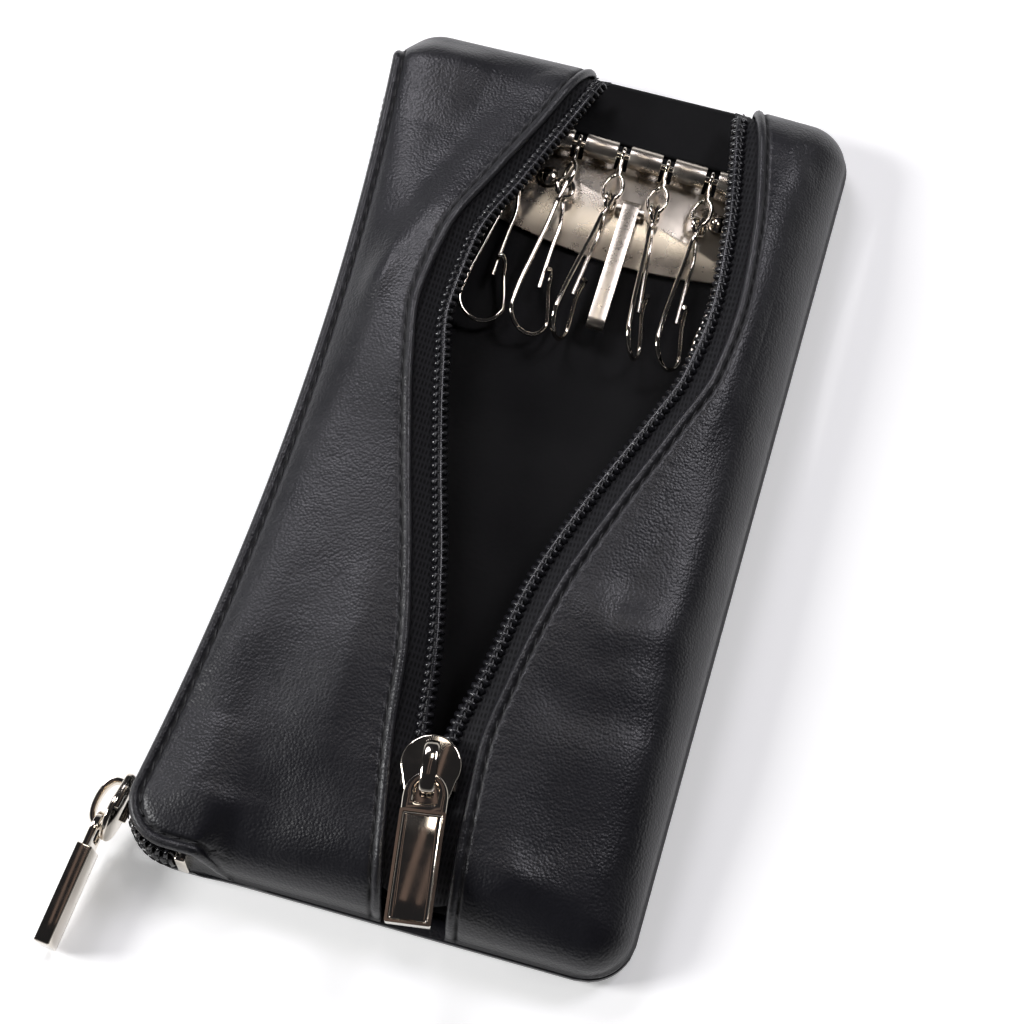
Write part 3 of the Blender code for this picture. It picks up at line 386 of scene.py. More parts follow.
lining, tree, shader = new_material("lining", (0.004, 0.004, 0.0045), 0.6)
shader.inputs["Specular IOR Level"].default_value = 0.12
height, mottle = use_group(tree, grain, 1500.0)
dress(tree, shader, blend_colour(tree, mottle, (0.003, 0.003, 0.0035), (0.006, 0.006, 0.0065)),
      ramp(tree, mottle, 0.3, 0.7, 0.52, 0.68), height, 0.00005, 0.5)
print("materials", leather.name, lining.name)

# %% [markdown]
# ## Zip cloth, thread and nylon
# Zip tape is a narrow woven band: ribs run along it and picks cross them. The weave follows the
# tape's own UV map, in metres, so it turns with the tape. The coil is bent nylon wire.

# %% Tape, thread and coil materials
tape_cloth, tree, shader = new_material("zip_tape", (0.006, 0.006, 0.007), 0.8)
shader.inputs["Specular IOR Level"].default_value = 0.25
cloth_map = add(tree, "ShaderNodeUVMap", uv_map="cloth").outputs[0]
ribs, picks = (add(tree, "ShaderNodeTexWave", Vector=cloth_map, Scale=scale, Distortion=0.4,
                   bands_direction=way).outputs["Fac"] for scale, way in ((620.0, "X"), (285.0, "Y")))
weave = maths(tree, "MAXIMUM", ribs, maths(tree, "MULTIPLY", picks, 0.8))
dress(tree, shader, blend_colour(tree, weave, (0.002, 0.002, 0.0025), (0.007, 0.007, 0.009)),
      ramp(tree, weave, 0.0, 1.0, 0.9, 0.65), weave, 0.00007)

thread, tree, shader = new_material("sewing_thread", (0.008, 0.008, 0.009), 0.6)
twist = noise_at(tree, place_of(tree), 5200.0, Detail=2.0)
dress(tree, shader, blend_colour(tree, twist, (0.003, 0.003, 0.0035), (0.014, 0.014, 0.016)),
      height=twist, depth=0.00006)

coil_thread, tree, shader = new_material("coil_thread", (0.05, 0.05, 0.053), 0.45)

nylon, tree, shader = new_material("zip_coil", (0.012, 0.012, 0.013), 0.28)
haze = noise_at(tree, place_of(tree), 900.0, Detail=3.0)
dress(tree, shader, blend_colour(tree, haze, (0.006, 0.006, 0.0075), (0.014, 0.014, 0.017)),
      ramp(tree, haze, 0.3, 0.7, 0.20, 0.32))
print("materials", tape_cloth.name, thread.name, coil_thread.name, nylon.name)


# %% [markdown]
# ## Nickel
# Cheap plated hardware is bright but not perfect: a cast slider is a little wavy, sheet and wire
# are clouded by handling and carry hair scratches along them.

# %% Nickel materials: polished castings, and plated sheet and wire
def nickel_finish(name, colour, dull, bright, scratch, wave):
    material, tree, shader = new_material(name, colour, bright, 1.0)
    clouds, scratches = use_group(tree, smudge, 260.0)
    darker = tuple(c * 0.93 for c in colour)
    both = maths(tree, "ADD", maths(tree, "MULTIPLY", scratches, scratch), clouds)
    dress(tree, shader, blend_colour(tree, ramp(tree, clouds, 0.35, 0.65), darker, colour),
          ramp(tree, clouds, 0.3, 0.72, bright, dull), both, wave)
    return material


nickel = nickel_finish("nickel", (0.74, 0.68, 0.60), 0.12, 0.06, 0.1, 0.000004)
nickel_sheet = nickel_finish("nickel_sheet", (0.72, 0.65, 0.56), 0.32, 0.25, 0.4, 0.000006)
print("materials", nickel.name, nickel_sheet.name)


# %% [markdown]
# ## Making pieces
# A bmesh is turned into an object that rides on its body. Wires are swept tubes: a curve with a
# round bevel is the quickest way to make one, and it is turned into a mesh at once so that the
# places of its points stay in the mesh.

# %% Helpers that finish a piece
def finish(name, bm, material, node=None, body="case", sharp=0):
    mesh = bpy.data.meshes.new(name)
    bm.to_mesh(mesh)
    bm.free()
    mesh.materials.append(material)
    mesh.shade_smooth()
    if sharp:
        mesh.set_sharp_from_angle(angle=math.radians(sharp))
    piece = new_object(name, mesh)
    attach(piece, body)
    if node:
        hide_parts(node)
    print(name, sum(len(p.vertices) - 2 for p in mesh.polygons), "triangles")
    return piece


def tube_into(bm, path, radius, sides=3, closed=False):
    """Sweeps a round wire along a path of points and adds it to the bmesh."""
    curve = bpy.data.curves.new("wire", "CURVE")
    curve.dimensions = "3D"
    curve.bevel_depth = radius
    curve.bevel_resolution = sides
    curve.use_fill_caps = not closed
    spline = curve.splines.new("POLY")
    spline.points.add(len(path) - 1)
    for point, co in zip(spline.points, path):
        point.co = (*co, 1.0)
    spline.use_cyclic_u = closed
    holder = new_object("wire", curve)
    bpy.context.view_layer.update()
    mesh = bpy.data.meshes.new_from_object(holder.evaluated_get(bpy.context.evaluated_depsgraph_get()))
    bm.from_mesh(mesh)
    bpy.data.objects.remove(holder)
    bpy.data.meshes.remove(mesh)
    bpy.data.curves.remove(curve)


def smooth_path(points, steps, closed=False):
    """A smooth curve through given points."""
    points = [Vector(p) for p in points]
    if closed:
        padded = [points[-1]] + points + points[:2]
    else:
        padded = [2 * points[0] - points[1]] + points + [2 * points[-1] - points[-2]]
    result = []
    for p0, p1, p2, p3 in zip(padded, padded[1:], padded[2:], padded[3:]):
        for k in range(steps):
            t = k / steps
            result.append(0.5 * (2 * p1 + (p2 - p0) * t + (2 * p0 - 5 * p1 + 4 * p2 - p3) * t ** 2
                                 + (3 * p1 - p0 - 3 * p2 + p3) * t ** 3))
    return result if closed else result + [points[-1]]


def axes_at(place, x, y, z):
    """A matrix that moves a piece to a place, with its own axes turned to x, y and z."""
    return Matrix.Translation(place) @ Matrix((x, y, z)).transposed().to_4x4()


def add_stitch(bm, place, along, up, length, width):
    """One short stitch: a small ball drawn out along the seam."""
    across = up.cross(along).normalized()
    size = Matrix.Diagonal((length / 2, width / 2, width / 2, 1.0))
    bmesh.ops.create_uvsphere(bm, u_segments=8, v_segments=6, radius=1.0,
                              matrix=axes_at(place, along, across, along.cross(across)) @ size)


# %% [markdown]
# ## The front panels
# The two front panels are single skins of leather whose edges are turned under and topstitched.
# A box with bevels would look like card. Here a fine grid is laid over the formula for the
# front, once for the grain side and once for the flesh side. Both meet in a rounded rim, and
# the turned edge, the sewn groove and its puckers are added by how far a point is from the edge.

# %% Where the leather swells, dips and folds
BEAD, BEAD_RISE, STITCH = 0.0014, 0.00022, 0.0026
SEAM, SEAM_WIDTH = BEAD * 1.12, 0.00026
PUCKER, PUCKER_REACH = 0.00009, 0.0012
# soft folds on the case, as a line of points with a width and a height
FOLDS = (
    (((-0.0047, 0.0607), (-0.0117, 0.0466), (-0.0184, 0.0326), (-0.0253, 0.0199)), 0.0035, 0.0008),
    (((-0.0253, 0.0199), (-0.0290, 0.0080), (-0.0299, -0.0044)), 0.0050, 0.0006),
    (((-0.0150, 0.0620), (-0.0215, 0.0480), (-0.0270, 0.0330)), 0.0050, -0.0006),
    (((-0.0275, -0.0600), (-0.0280, -0.0520)), 0.0075, 0.0008),
    (((0.0240, 0.0620), (0.0290, 0.0560)), 0.0022, 0.0006),
    (((0.0300, 0.0300), (0.0270, 0.0050), (0.0230, -0.0150)), 0.0050, -0.0005),
    (((0.0130, -0.0180), (0.0210, -0.0230), (0.0300, -0.0210)), 0.0035, 0.0005),
    (((0.0100, -0.0330), (0.0190, -0.0360), (0.0290, -0.0350)), 0.0040, -0.0005),
    (((0.0110, -0.0600), (0.0200, -0.0610), (0.0290, -0.0570)), 0.0050, 0.0007),
    (((-0.0076, -0.0284), (-0.0117, -0.0400), (-0.0155, -0.0489), (-0.0229, -0.0600)), 0.0070, 0.0009),
)


def line_distance(x, y, line):
    nearest = 1.0
    for (ax, ay), (bx, by) in zip(line, line[1:]):
        dx, dy = bx - ax, by - ay
        t = min(max(((x - ax) * dx + (y - ay) * dy) / (dx * dx + dy * dy), 0.0), 1.0)
        nearest = min(nearest, math.hypot(x - ax - dx * t, y - ay - dy * t))
    return nearest


def folds_at(x, y):
    total = 0.0
    for line, width, rise in FOLDS:
        away = line_distance(x, y, line) / width
        if away < 2.5:
            total += rise * math.exp(-away * away)
    return total


def edge_profile(away, run, depth):
    """Height beside a turned edge: a rolled bead, then a groove that dips at every needle hole. The
    groove's share also paints the shade in it.
    """
    hole = 0.5 + 0.5 * math.cos(2 * math.pi * run / STITCH)
    bead = BEAD_RISE * max(1 - ((away - BEAD * 0.45) / (BEAD * 0.55)) ** 2, 0.0)
    groove_and_shade = math.exp(-((away - SEAM) / SEAM_WIDTH) ** 2) * (0.6 + 0.4 * hole)
    pucker = math.exp(-max(away - BEAD, 0.0) / PUCKER_REACH) * hole * (1.0 if away > BEAD else 0.25)
    return bead - depth * groove_and_shade - PUCKER * pucker, groove_and_shade


# %% The zip edge of each panel: its slope and its length along the curve
def spread(start, end, count):
    """Even steps from start to end, both included."""
    return [start + (end - start) * i / count for i in range(count + 1)]


@functools.lru_cache(maxsize=None)
def edge_lean(side, y):
    return math.cos(math.atan((leather_edge(side, y + MM) - leather_edge(side, y - MM)) / (2 * MM)))


def to_zip(side, x, y):
    """How far a point lies from its panel's zip edge, square to the edge."""
    return abs(x - leather_edge(side, y)) * edge_lean(side, y)


def edge_runs(side, count=600):
    """Running length of the zip edge at even steps of y."""
    line = [Vector((leather_edge(side, y), y)) for y in spread(HALF_L, -HALF_L, count)]
    runs = [0.0]
    for last, here in zip(line, line[1:]):
        runs.append(runs[-1] + (here - last).length)
    return runs


EDGE_RUNS = {side: edge_runs(side) for side in (-1, 1)}


def edge_run(side, y):
    runs = EDGE_RUNS[side]
    at = (HALF_L - y) / (2 * HALF_L) * (len(runs) - 1)
    k = min(max(int(at), 0), len(runs) - 2)
    return between(runs[k], runs[k + 1], at - k)


print("zip edges", [round(EDGE_RUNS[s][-1] / MM, 1) for s in (-1, 1)], "mm")

# %% A point of a front panel, on its grain side or its flesh side
ZIP_GROOVE, RIM_GROOVE = 0.00034, 0.00030
SLACK, RIPPLE, SINK = 0.00018, 0.00004, 0.0012


def panel_detail(side, x, y):
    """Height to add at a point, how rubbed it is, and how deep in a groove, which sets its painted
    shade.
    """
    from_zip, from_rim = to_zip(side, x, y), edge_distance(x, y)
    sewn = pocket_share(x, y)
    near_zip, zip_groove_and_shade = edge_profile(from_zip, edge_run(side, y), ZIP_GROOVE)
    near_rim, rim_groove_and_shade = edge_profile(from_rim, outline_run(x, y), RIM_GROOVE)
    nearest = min(from_zip, from_rim)
    slack = noise.noise(Vector((x * 150, y * 45, 3.0))) * SLACK
    slack += noise.noise(Vector((x, y, 0.0)) * 330) * RIPPLE
    sink = SINK * ease(-y, 0.030, 0.062) * ease(from_zip, 0.003, 0.018) * ease(from_rim, 0.0, 0.011)
    field = (folds_at(x, y) + slack) * ease(nearest, 0.002, 0.009)
    rubbed = max(1 - abs(nearest - BEAD * 0.3) / (BEAD * 0.5), 0.0)
    return near_zip + near_rim * sewn + field - sink, rubbed, max(zip_groove_and_shade, rim_groove_and_shade * sewn)


def panel_point(side, x, y, under):
    rim = min(edge_distance(x, y), to_zip(side, x, y))
    share = quarter_round(rim, LEATHER / 2)
    normal = front_normal(side, x, y)
    middle = Vector((x, y, front_z(side, x, y))) - normal * (LEATHER / 2)
    detail, rubbed, groove_and_shade = panel_detail(side, x, y)
    if under:
        return middle - normal * (share * (LEATHER / 2 - detail * 0.5)), 0.0, 0.0
    return middle + normal * (share * (LEATHER / 2 + detail)), rubbed, groove_and_shade


# %% Rows and columns that are close together where the leather turns
ROUND_STEP, FIELD_STEP, FIELD_COLUMNS = 0.0006, 0.00048, 34
LIP_STEPS = [MM * s for s in (4.6, 3.8, 3.1, 2.6, 2.2, 1.95, 1.75, 1.6, 1.45, 1.25, 0.9)]


def round_over(reach, angles):
    return [reach * (1 - math.cos(math.radians(a))) for a in angles]


def even(start, end, size):
    return spread(start, end, max(round(abs(end - start) / size), 1))[1:]


# distances from an edge: round the rim, over the bead, and then up the rounding behind it
RIM = round_over(LEATHER / 2, (0, 30, 60, 90)) + spread(LEATHER / 2, FLANGE, 6)[1:]


def rounding_steps(reach):
    return [FLANGE + s for s in round_over(reach, (6, 12, 18, 25, 33, 42, 52, 63, 76, 90))]


def panel_ys():
    steps = RIM[-1:] + rounding_steps(EDGE_ROUND)
    ends = [HALF_L - step for step in RIM]
    ends += [y for a, b in zip(steps, steps[1:]) for y in even(HALF_L - a, HALF_L - b, ROUND_STEP)]
    return ends + even(ends[-1], -ends[-1], FIELD_STEP)[:-1] + [-y for y in reversed(ends)]


def panel_xs(outer, inner, reach):
    way = 1 if inner > outer else -1
    rim = [outer + way * step for step in RIM + rounding_steps(reach)]
    lip = [inner - way * step for step in LIP_STEPS + round_over(LEATHER / 2, (90, 60, 30, 0))]
    return rim + spread(rim[-1], lip[0], FIELD_COLUMNS)[1:-1] + lip


# %% Lay both skins of each panel
LIP_ROOM, LEAST_ROUND = 0.0056, 0.0012


def lay_grid(bm, along, across):
    """Adds a flat grid, and lists its verts with their row and column."""
    start = len(bm.verts)
    bmesh.ops.create_grid(bm, x_segments=across - 1, y_segments=along - 1, size=1.0)
    bm.verts.ensure_lookup_table()
    return [(vert, round((1 - vert.co.y) / 2 * (along - 1)), round((vert.co.x + 1) / 2 * (across - 1)))
            for vert in bm.verts[start:]]


def lay_panel(name, side, node):
    bm = bmesh.new()
    rubbed = bm.verts.layers.float.new("rubbed")
    groove_and_shade = bm.verts.layers.float.new("groove_and_shade")
    ys, rows = panel_ys(), []
    for y in ys:
        outer, inner = outer_x(side, y), leather_edge(side, y)
        reach = between(EDGE_ROUND, POCKET_ROUND, pocket_share(outer, y))
        reach = min(reach, max(abs(inner - outer) - FLANGE - LIP_ROOM, LEAST_ROUND))
        rows.append(panel_xs(outer, inner, reach))
    for under in (False, True):
        for vert, j, i in lay_grid(bm, len(rows), len(rows[0])):
            vert.co, vert[rubbed], vert[groove_and_shade] = panel_point(side, rows[j][i], ys[j], under)
    bmesh.ops.remove_doubles(bm, verts=bm.verts, dist=0.00002)
    bmesh.ops.recalc_face_normals(bm, faces=bm.faces)
    return finish(name, bm, leather, node)


lay_panel("front_leather_left", -1, "front_panel_left")
lay_panel("front_leather_right", 1, "front_panel_right")


# %% [markdown]
# ## Back, flange and lining
# The back is a shallow tray of the same leather, and its edge is sewn to the front's. The wall
# inside is thin lining. Both are one grid each, thickened by a Solidify operator.

# %% Back leather
def lay_sheet(name, rows, thickness, material, node=None):
    bm = bmesh.new()
    verts = lay_grid(bm, len(rows), len(rows[0]))
    cloth = bm.loops.layers.uv.new("cloth")
    for vert, j, i in verts:
        vert.co = rows[j][i]
        for loop in vert.link_loops:
            loop[cloth].uv = rows[j][i][:2]
    bmesh.ops.remove_doubles(bm, verts=bm.verts, dist=0.00001)
    bmesh.ops.solidify(bm, geom=bm.faces, thickness=thickness)
    return finish(name, bm, material, node)


def back_rows():
    steps = [0.0, 0.0003, 0.0008, 0.0013]
    steps += [FLANGE + s for s in round_over(BACK_ROLL, (0, 15, 30, 45, 60, 75, 90))]
    ends = [HALF_L - step for step in steps]
    rows = []
    for y in ends + even(ends[-1], -ends[-1], 0.002)[:-1] + [-y for y in reversed(ends)]:
        left, right = outer_x(-1, y), outer_x(1, y)
        xs = [left + s for s in steps[:-1]] + spread(left + steps[-1], right - steps[-1], 20)
        row = []
        for x in xs + [right - s for s in reversed(steps[:-1])]:
            rim = back_rim(pocket_share(x, y)) - LEATHER
            row.append((x, y, rim * (1 - quarter_round(edge_distance(x, y) - FLANGE, BACK_ROLL))))
        rows.append(row)
    return rows


lay_sheet("back_leather", back_rows(), -LEATHER, leather, "back_panel")


# %% Pocket wall
def lining_rows():
    inset = FLANGE + LEATHER + 2 * GAP
    tape_inset = LEATHER + GAP + TAPE + CLEAR
    rows = []
    for turn in spread(0.0, math.pi, 120):
        y = (HALF_L - inset) * math.cos(turn)
        outline_y = y * HALF_L / (HALF_L - inset)
        left = max(outer_x(-1, y), outer_x(-1, outline_y))
        left += between(inset, tape_inset, pocket_share(left, y))
        row = []
        for x in spread(left, outer_x(1, outline_y) - inset, 60):
            sway = noise.noise(Vector((x, y, 0.5)) * 70) * 0.0003
            sway *= ease(edge_distance(x, y), 0.003, 0.012)
            row.append((x, y, divider_z(x, y) - abs(sway)))
        rows.append(row)
    return rows


lay_sheet("pocket_lining", lining_rows(), LINING, lining, "pocket_divider")

# %% Leather that closes the ends of the side zip
GUSSET_INSET, GUSSET_FOLD = 0.0008, 0.10
X, Y, Z = Vector((1, 0, 0)), Vector((0, 1, 0)), Vector((0, 0, 1))


def arc(reach_x, reach_y, start, end, count, x=0.0, y=0.0):
    """Points round a circle or an oval, between two angles in degrees."""
    turns = [math.radians(a) for a in spread(start, end, count)]
    return [(x + reach_x * math.cos(a), y + reach_y * math.sin(a)) for a in turns]


def corner_frames(sy, start, end, count):
    """Points round a left corner, each with its outward way."""
    centre = Vector((-HALF_W + CORNER, sy * STRAIGHT, 0))
    outs = [Vector((*way, 0)) for way in arc(1, 1, start, end, count)]
    return [(centre + out * CORNER, out) for out in outs]


def gusset(name, frames):
    """A folded strip of leather from the back's edge up to the front's."""
    rows = []
    for edge, out in frames:
        point = edge - out * GUSSET_INSET
        pocket = pocket_share(point.x, point.y)
        low, high = back_rim(pocket) - GAP, front_seam(pocket) + GAP
        rows.append([Vector((point.x, point.y, z))
                     - out * ((high - low) * GUSSET_FOLD * math.sin(math.pi * k / 10))
                     for k, z in enumerate(spread(low, high, 10))])
    return lay_sheet(name, rows, -LINING, leather)


side_down = [(Vector((left_side(y), y, 0)), -X) for y in even(0.0525, STRAIGHT, 0.0008)]
gusset("upper_gusset", (side_down + corner_frames(1, 180, 118, 12))[::-1])
gusset("lower_gusset", [(Vector((x, -HALF_L, 0)), -Y) for x in even(-0.0278, -0.0150, 0.0005)])

# %% The lining's hem at the end of the mouth
HEM_REACH, HEM_FOOT, HEM_RISE, HEM_ROUND, HEM_BLEND = 0.0110, 0.0034, 0.0011, 0.0014, 0.0004


def mouth_hem():
    """The lining's end, which climbs over the back's rim between the two panels."""
    rows = []
    for turn in spread(0.0, math.pi / 2, 24):
        inset = HEM_REACH * (1 - math.sin(turn)) + 0.0001
        y = HALF_L - inset
        rim = HEM_FOOT + HEM_RISE * quarter_round(inset, HEM_ROUND)
        row = []
        for x in spread(leather_edge(-1, y) + GAP, leather_edge(1, y) - GAP, 40):
            above = divider_z(x, y) + 0.0002 - rim
            row.append((x, y, rim + 0.5 * (above + math.hypot(above, HEM_BLEND))))
        rows.append(row)
    return lay_sheet("mouth_hem", rows, -LINING / 4, lining)


mouth_hem()

# %% [markdown]
# ## Zip tapes and coils
# A coil zip's teeth are one nylon wire wound into a spiral and sewn along the tape's edge. Teeth
# could be copied one by one, but a wound wire gives the true ribs, loops and gaps for less work.

# %% Front tapes
TAPE_UNDER, TAPE_SHORT = 0.003, 0.0006


def front_tape(name, side, node):
    rows = []
    for y in spread(HALF_L - ZIP_END, -HALF_L + ZIP_END, 180):
        edge = leather_edge(side, y)
        under = under_leather(side, edge + side * TAPE_UNDER, y)
        at_edge = under_leather(side, edge, y)
        inner = tape_inner_point(side, y) + X * (side * TAPE_SHORT)
        row = [under.lerp(at_edge, k / 4) for k in range(4)]
        row += [at_edge.lerp(inner, k / 6) for k in range(7)]
        rows.append(row[::-side])
    return lay_sheet(name, rows, -TAPE, tape_cloth, node)


front_tape("front_tape_left", -1, "front_zip_tape_left")
front_tape("front_tape_right", 1, "front_zip_tape_right")

# %% Wound coils
PER_TURN = 12
COIL_WIRE, CORE_CORD, SEWING = 0.00047, 0.00045, 0.00024


def wind(path, width, height, start):
    """One wire wound round a path of (point, outward, up): flat below, looped at its inner edge."""
    first, points = start / math.tau, []
    for i in range(len(path) - 1):
        turns = i / PER_TURN + first
        share = turns % 1.0
        slant = 0.5 * share if share < 0.5 else 0.25 + 1.5 * (share - 0.5)
        at = min(max((turns - share + slant - first) * PER_TURN, 0.0), len(path) - 1.001)
        near, far, part = path[int(at)], path[int(at) + 1], at % 1.0
        point, out, up = (a.lerp(b, part) for a, b in zip(near, far))
        rise = math.sin(math.tau * turns)
        rise *= 1.0 if rise > 0 else 0.8
        points.append(point + out * (width / 2 * (1 - math.cos(math.tau * turns)))
                      + up * (height / 2 * (1 + rise)))
    return points


def coil_frames(side):
    """Points along a coil's inner edge, twelve a turn, with their outward and upward ways."""
    frames, y = [], HALF_L - 2 * ZIP_END
    while y > -HALF_L + 2 * ZIP_END:
        inner = tape_inner_point(side, y)
        edge = under_leather(side, leather_edge(side, y), y)
        ahead = (tape_inner_point(side, y - PITCH) - inner).normalized()
        up = ahead.cross((edge - inner).normalized()).normalized()
        up = -up if up.z < 0 else up
        out = up.cross(ahead).normalized()
        out = -out if out.x * side < 0 else out
        frames.append((inner + up * (GAP / 2), out, up))
        y += ahead.y * PITCH / PER_TURN
    return frames


def front_coil(name, side, node):
    bm = bmesh.new()
    frames = coil_frames(side)
    path = [(p + out * COIL_WIRE, out, up) for p, out, up in frames]
    width, height = COIL_WIDTH - 2 * COIL_WIRE, COIL_HEIGHT - 2 * COIL_WIRE - GAP / 2
    tube_into(bm, wind(path, width, height, 0.0 if side < 0 else math.pi), COIL_WIRE, sides=1)
    core = [p + out * (COIL_WIDTH * 0.5) + up * (COIL_HEIGHT * 0.40) for p, out, up in frames[::4]]
    tube_into(bm, core, CORE_CORD, sides=1)
    finish(name, bm, nylon, node)
    bm = bmesh.new()
    for k in range(6, len(frames) - 6, PER_TURN):
        p, out, up = frames[k]
        ahead = (frames[k + 5][0] - frames[k - 5][0]).normalized()
        place = p + out * (COIL_WIDTH * 0.80) + up * (COIL_HEIGHT * 0.86)
        add_stitch(bm, place, (ahead + out * 0.35).normalized(), up, PITCH * 0.80, SEWING)
    finish(name + "_sewing", bm, coil_thread)


front_coil("front_coil_left", -1, "front_zip_coil_left")
front_coil("front_coil_right", 1, "front_zip_coil_right")


# %% Path and tapes of the side zip, down the left side and round the lower corner
def side_frames(inset, step, top=HALF_L - 0.014, end=-HALF_W + 0.008):
    frames = []
    for y in spread(top, -STRAIGHT, math.ceil((top + STRAIGHT) / step)):
        point = Vector((left_side(y), y, 0))
        frames.append((point, (Vector((ARC_X, 0, 0)) - point).normalized()))
    frames += corner_frames(-1, 180, 270, math.ceil(CORNER_RUN / step))[1:]
    foot = frames[-1][0].x
    for x in spread(foot, end, math.ceil((end - foot) / step))[1:]:
        frames.append((Vector((x, -HALF_L, 0)), -Y))
    return [(point - out * inset, out) for point, out in frames]


def side_tape(name, low, high, node):
    rows = [[point + Z * z for z in spread(low, high, 6)]
            for point, _ in side_frames(LEATHER + GAP, 0.001)]
    return lay_sheet(name, rows, -TAPE, tape_cloth, node)


side_tape("side_tape_back", SIDE_TAPE_FOOT, CHAIN_MID - GAP, "side_zip_tape_back")
side_tape("side_tape_front", CHAIN_MID + GAP, POCKET_SEAM - GAP, "side_zip_tape_front")

# %% Closed chain of the side zip: two coils whose loops lie between each other
SIDE_WIRE, SIDE_SEWING, LOOP_OVERLAP = 0.00036, 0.00026, 0.0005


def side_chain():
    bm = bmesh.new()
    width = COIL_WIDTH + GAP / 2 + LOOP_OVERLAP - SIDE_WIRE
    for way, start in ((-1, 0.0), (1, math.pi)):
        path = [(point + Z * (CHAIN_MID - way * LOOP_OVERLAP), Z * way, out)
                for point, out in side_frames(LEATHER - SIDE_WIRE, PITCH / PER_TURN)]
        tube_into(bm, wind(path, width, COIL_HEIGHT - 2 * SIDE_WIRE, start), SIDE_WIRE, sides=1)
    finish("side_coil", bm, nylon, "side_zip_chain")
    bm = bmesh.new()
    frames = side_frames(LEATHER - COIL_HEIGHT, PITCH / 2)
    for way in (-1, 1):
        for (a, out), (b, _) in zip(frames[0:-2:2], frames[2::2]):
            place = (a + b) / 2 + Z * (CHAIN_MID + way * 0.0015)
            add_stitch(bm, place, ((b - a).normalized() + Z * (0.2 * way)).normalized(), out,
                       PITCH, SIDE_SEWING)
    finish("side_coil_sewing", bm, thread)


side_chain()

# %% [markdown]
# ## Seams
# The needle leaves a short stitch every 2.6 mm, sunk in its groove and turned a little off the
# line of the seam. Each seam is one piece of many small drawn-out balls.

# %% Stitches along the zip edges and beside the side zip
THREAD, SUNK = 0.00034, 0.00004


def sew(name, spots):
    bm = bmesh.new()
    for place, along, up, slant in spots:
        along = along.normalized()
        along = (along + up.cross(along) * slant).normalized()
        add_stitch(bm, place - up * SUNK, along, up, STITCH * 0.60, THREAD)
    return finish(name, bm, thread)


def needle_hole(side, y, lean):
    x = leather_edge(side, y) + side * SEAM / lean
    return x, panel_point(side, x, y, False)[0]


def zip_seam(side):
    spots, run = [], STITCH / 2
    while run < EDGE_RUNS[side][-1] - STITCH / 2:
        low, high = -HALF_L, HALF_L
        for _ in range(30):
            y = (low + high) / 2
            low, high = (low, y) if edge_run(side, y) < run else (y, high)
        lean = edge_lean(side, y)
        x, place = needle_hole(side, y, lean)
        if edge_distance(x, y) > 0.002:
            along = needle_hole(side, y - MM, lean)[1] - place
            spots.append((place, along, front_normal(side, x, y), 0.22))
        run += STITCH
    return spots


def pocket_seam():
    """Stitches in the flange's groove, where it shows beside the side zip."""
    spots = []
    for sy in (-1, 1):
        run = STITCH / 2
        while run < STRAIGHT + CORNER_RUN + HALF_W - CORNER:
            past = run - STRAIGHT
            if past < 0:
                y = sy * run
                x, along = outer_x(-1, y) + SEAM, -Y
            elif past < CORNER_RUN:
                a = past / CORNER
                x = -(HALF_W - CORNER + (CORNER - SEAM) * math.cos(a))
                y = sy * (STRAIGHT + (CORNER - SEAM) * math.sin(a))
                along = Vector((math.sin(a), sy * math.cos(a), 0))
            else:
                x, y = -(HALF_W - CORNER - (past - CORNER_RUN)), sy * (HALF_L - SEAM)
                along = X
            if pocket_share(x, y) >= 0.5:
                spots.append((panel_point(-1, x, y, False)[0], along, Z, 0.2))
            run += STITCH
    return spots


sew("zip_seam_left", zip_seam(-1))
sew("zip_seam_right", zip_seam(1))
sew("outline_seam", pocket_seam())


# %% [markdown]
# ## Sliders and pulls
# A cast slider has a domed keyhole-shaped top, two walls that hold the coil, and a tall bridge.
# The pull is a framed bar whose arched eye hangs on the bridge. They are modelled flat at the
# origin, as a maker would draw them, and moved to their place at the end.

# %% Slabs, rounded edges and swept bars
def soften(bm, edges, offset, segments=3, angle=50):
    """Rounds those edges where two faces meet at more than an angle."""
    sharp = [e for e in edges if e.calc_face_angle(0.0) > math.radians(angle)]
    bmesh.ops.bevel(bm, geom=sharp, offset=offset, offset_type="OFFSET", segments=segments,
                    profile=0.5, material=-1, affect="EDGES", clamp_overlap=True)


def slab(bm, outline, low, high, rounding, segments=3, hole=None):
    """A flat outline, with a hole if wanted, drawn up to a slab with rounded edges."""
    rings = []
    for ring in (outline, hole or ()):
        verts = [bm.verts.new((x, y, low)) for x, y in ring]
        rings.append([bm.edges.new(pair) for pair in zip(verts, verts[1:] + verts[:1])])
    if hole:
        faces = bmesh.ops.bridge_loops(bm, edges=rings[0] + rings[1])["faces"]
    else:
        faces = bmesh.ops.contextual_create(bm, geom=rings[0])["faces"]
    lifted = bmesh.ops.extrude_face_region(bm, geom=faces)["geom"]
    top = [v for v in lifted if isinstance(v, bmesh.types.BMVert)]
    bmesh.ops.translate(bm, verts=top, vec=(0, 0, high - low))
    shell = {f for v in top for f in v.link_faces} | set(faces)
    bmesh.ops.recalc_face_normals(bm, faces=list(shell))
    soften(bm, {e for f in shell for e in f.edges}, rounding, segments)


def rounded_box(half_x, half_y, radius, x, y, per_corner=5):
    outline = []
    for sx, sy, start in ((1, 1, 0), (-1, 1, 90), (-1, -1, 180), (1, -1, 270)):
        outline += arc(radius, radius, start, start + 90, per_corner,
                       x + sx * (half_x - radius), y + sy * (half_y - radius))
    return outline


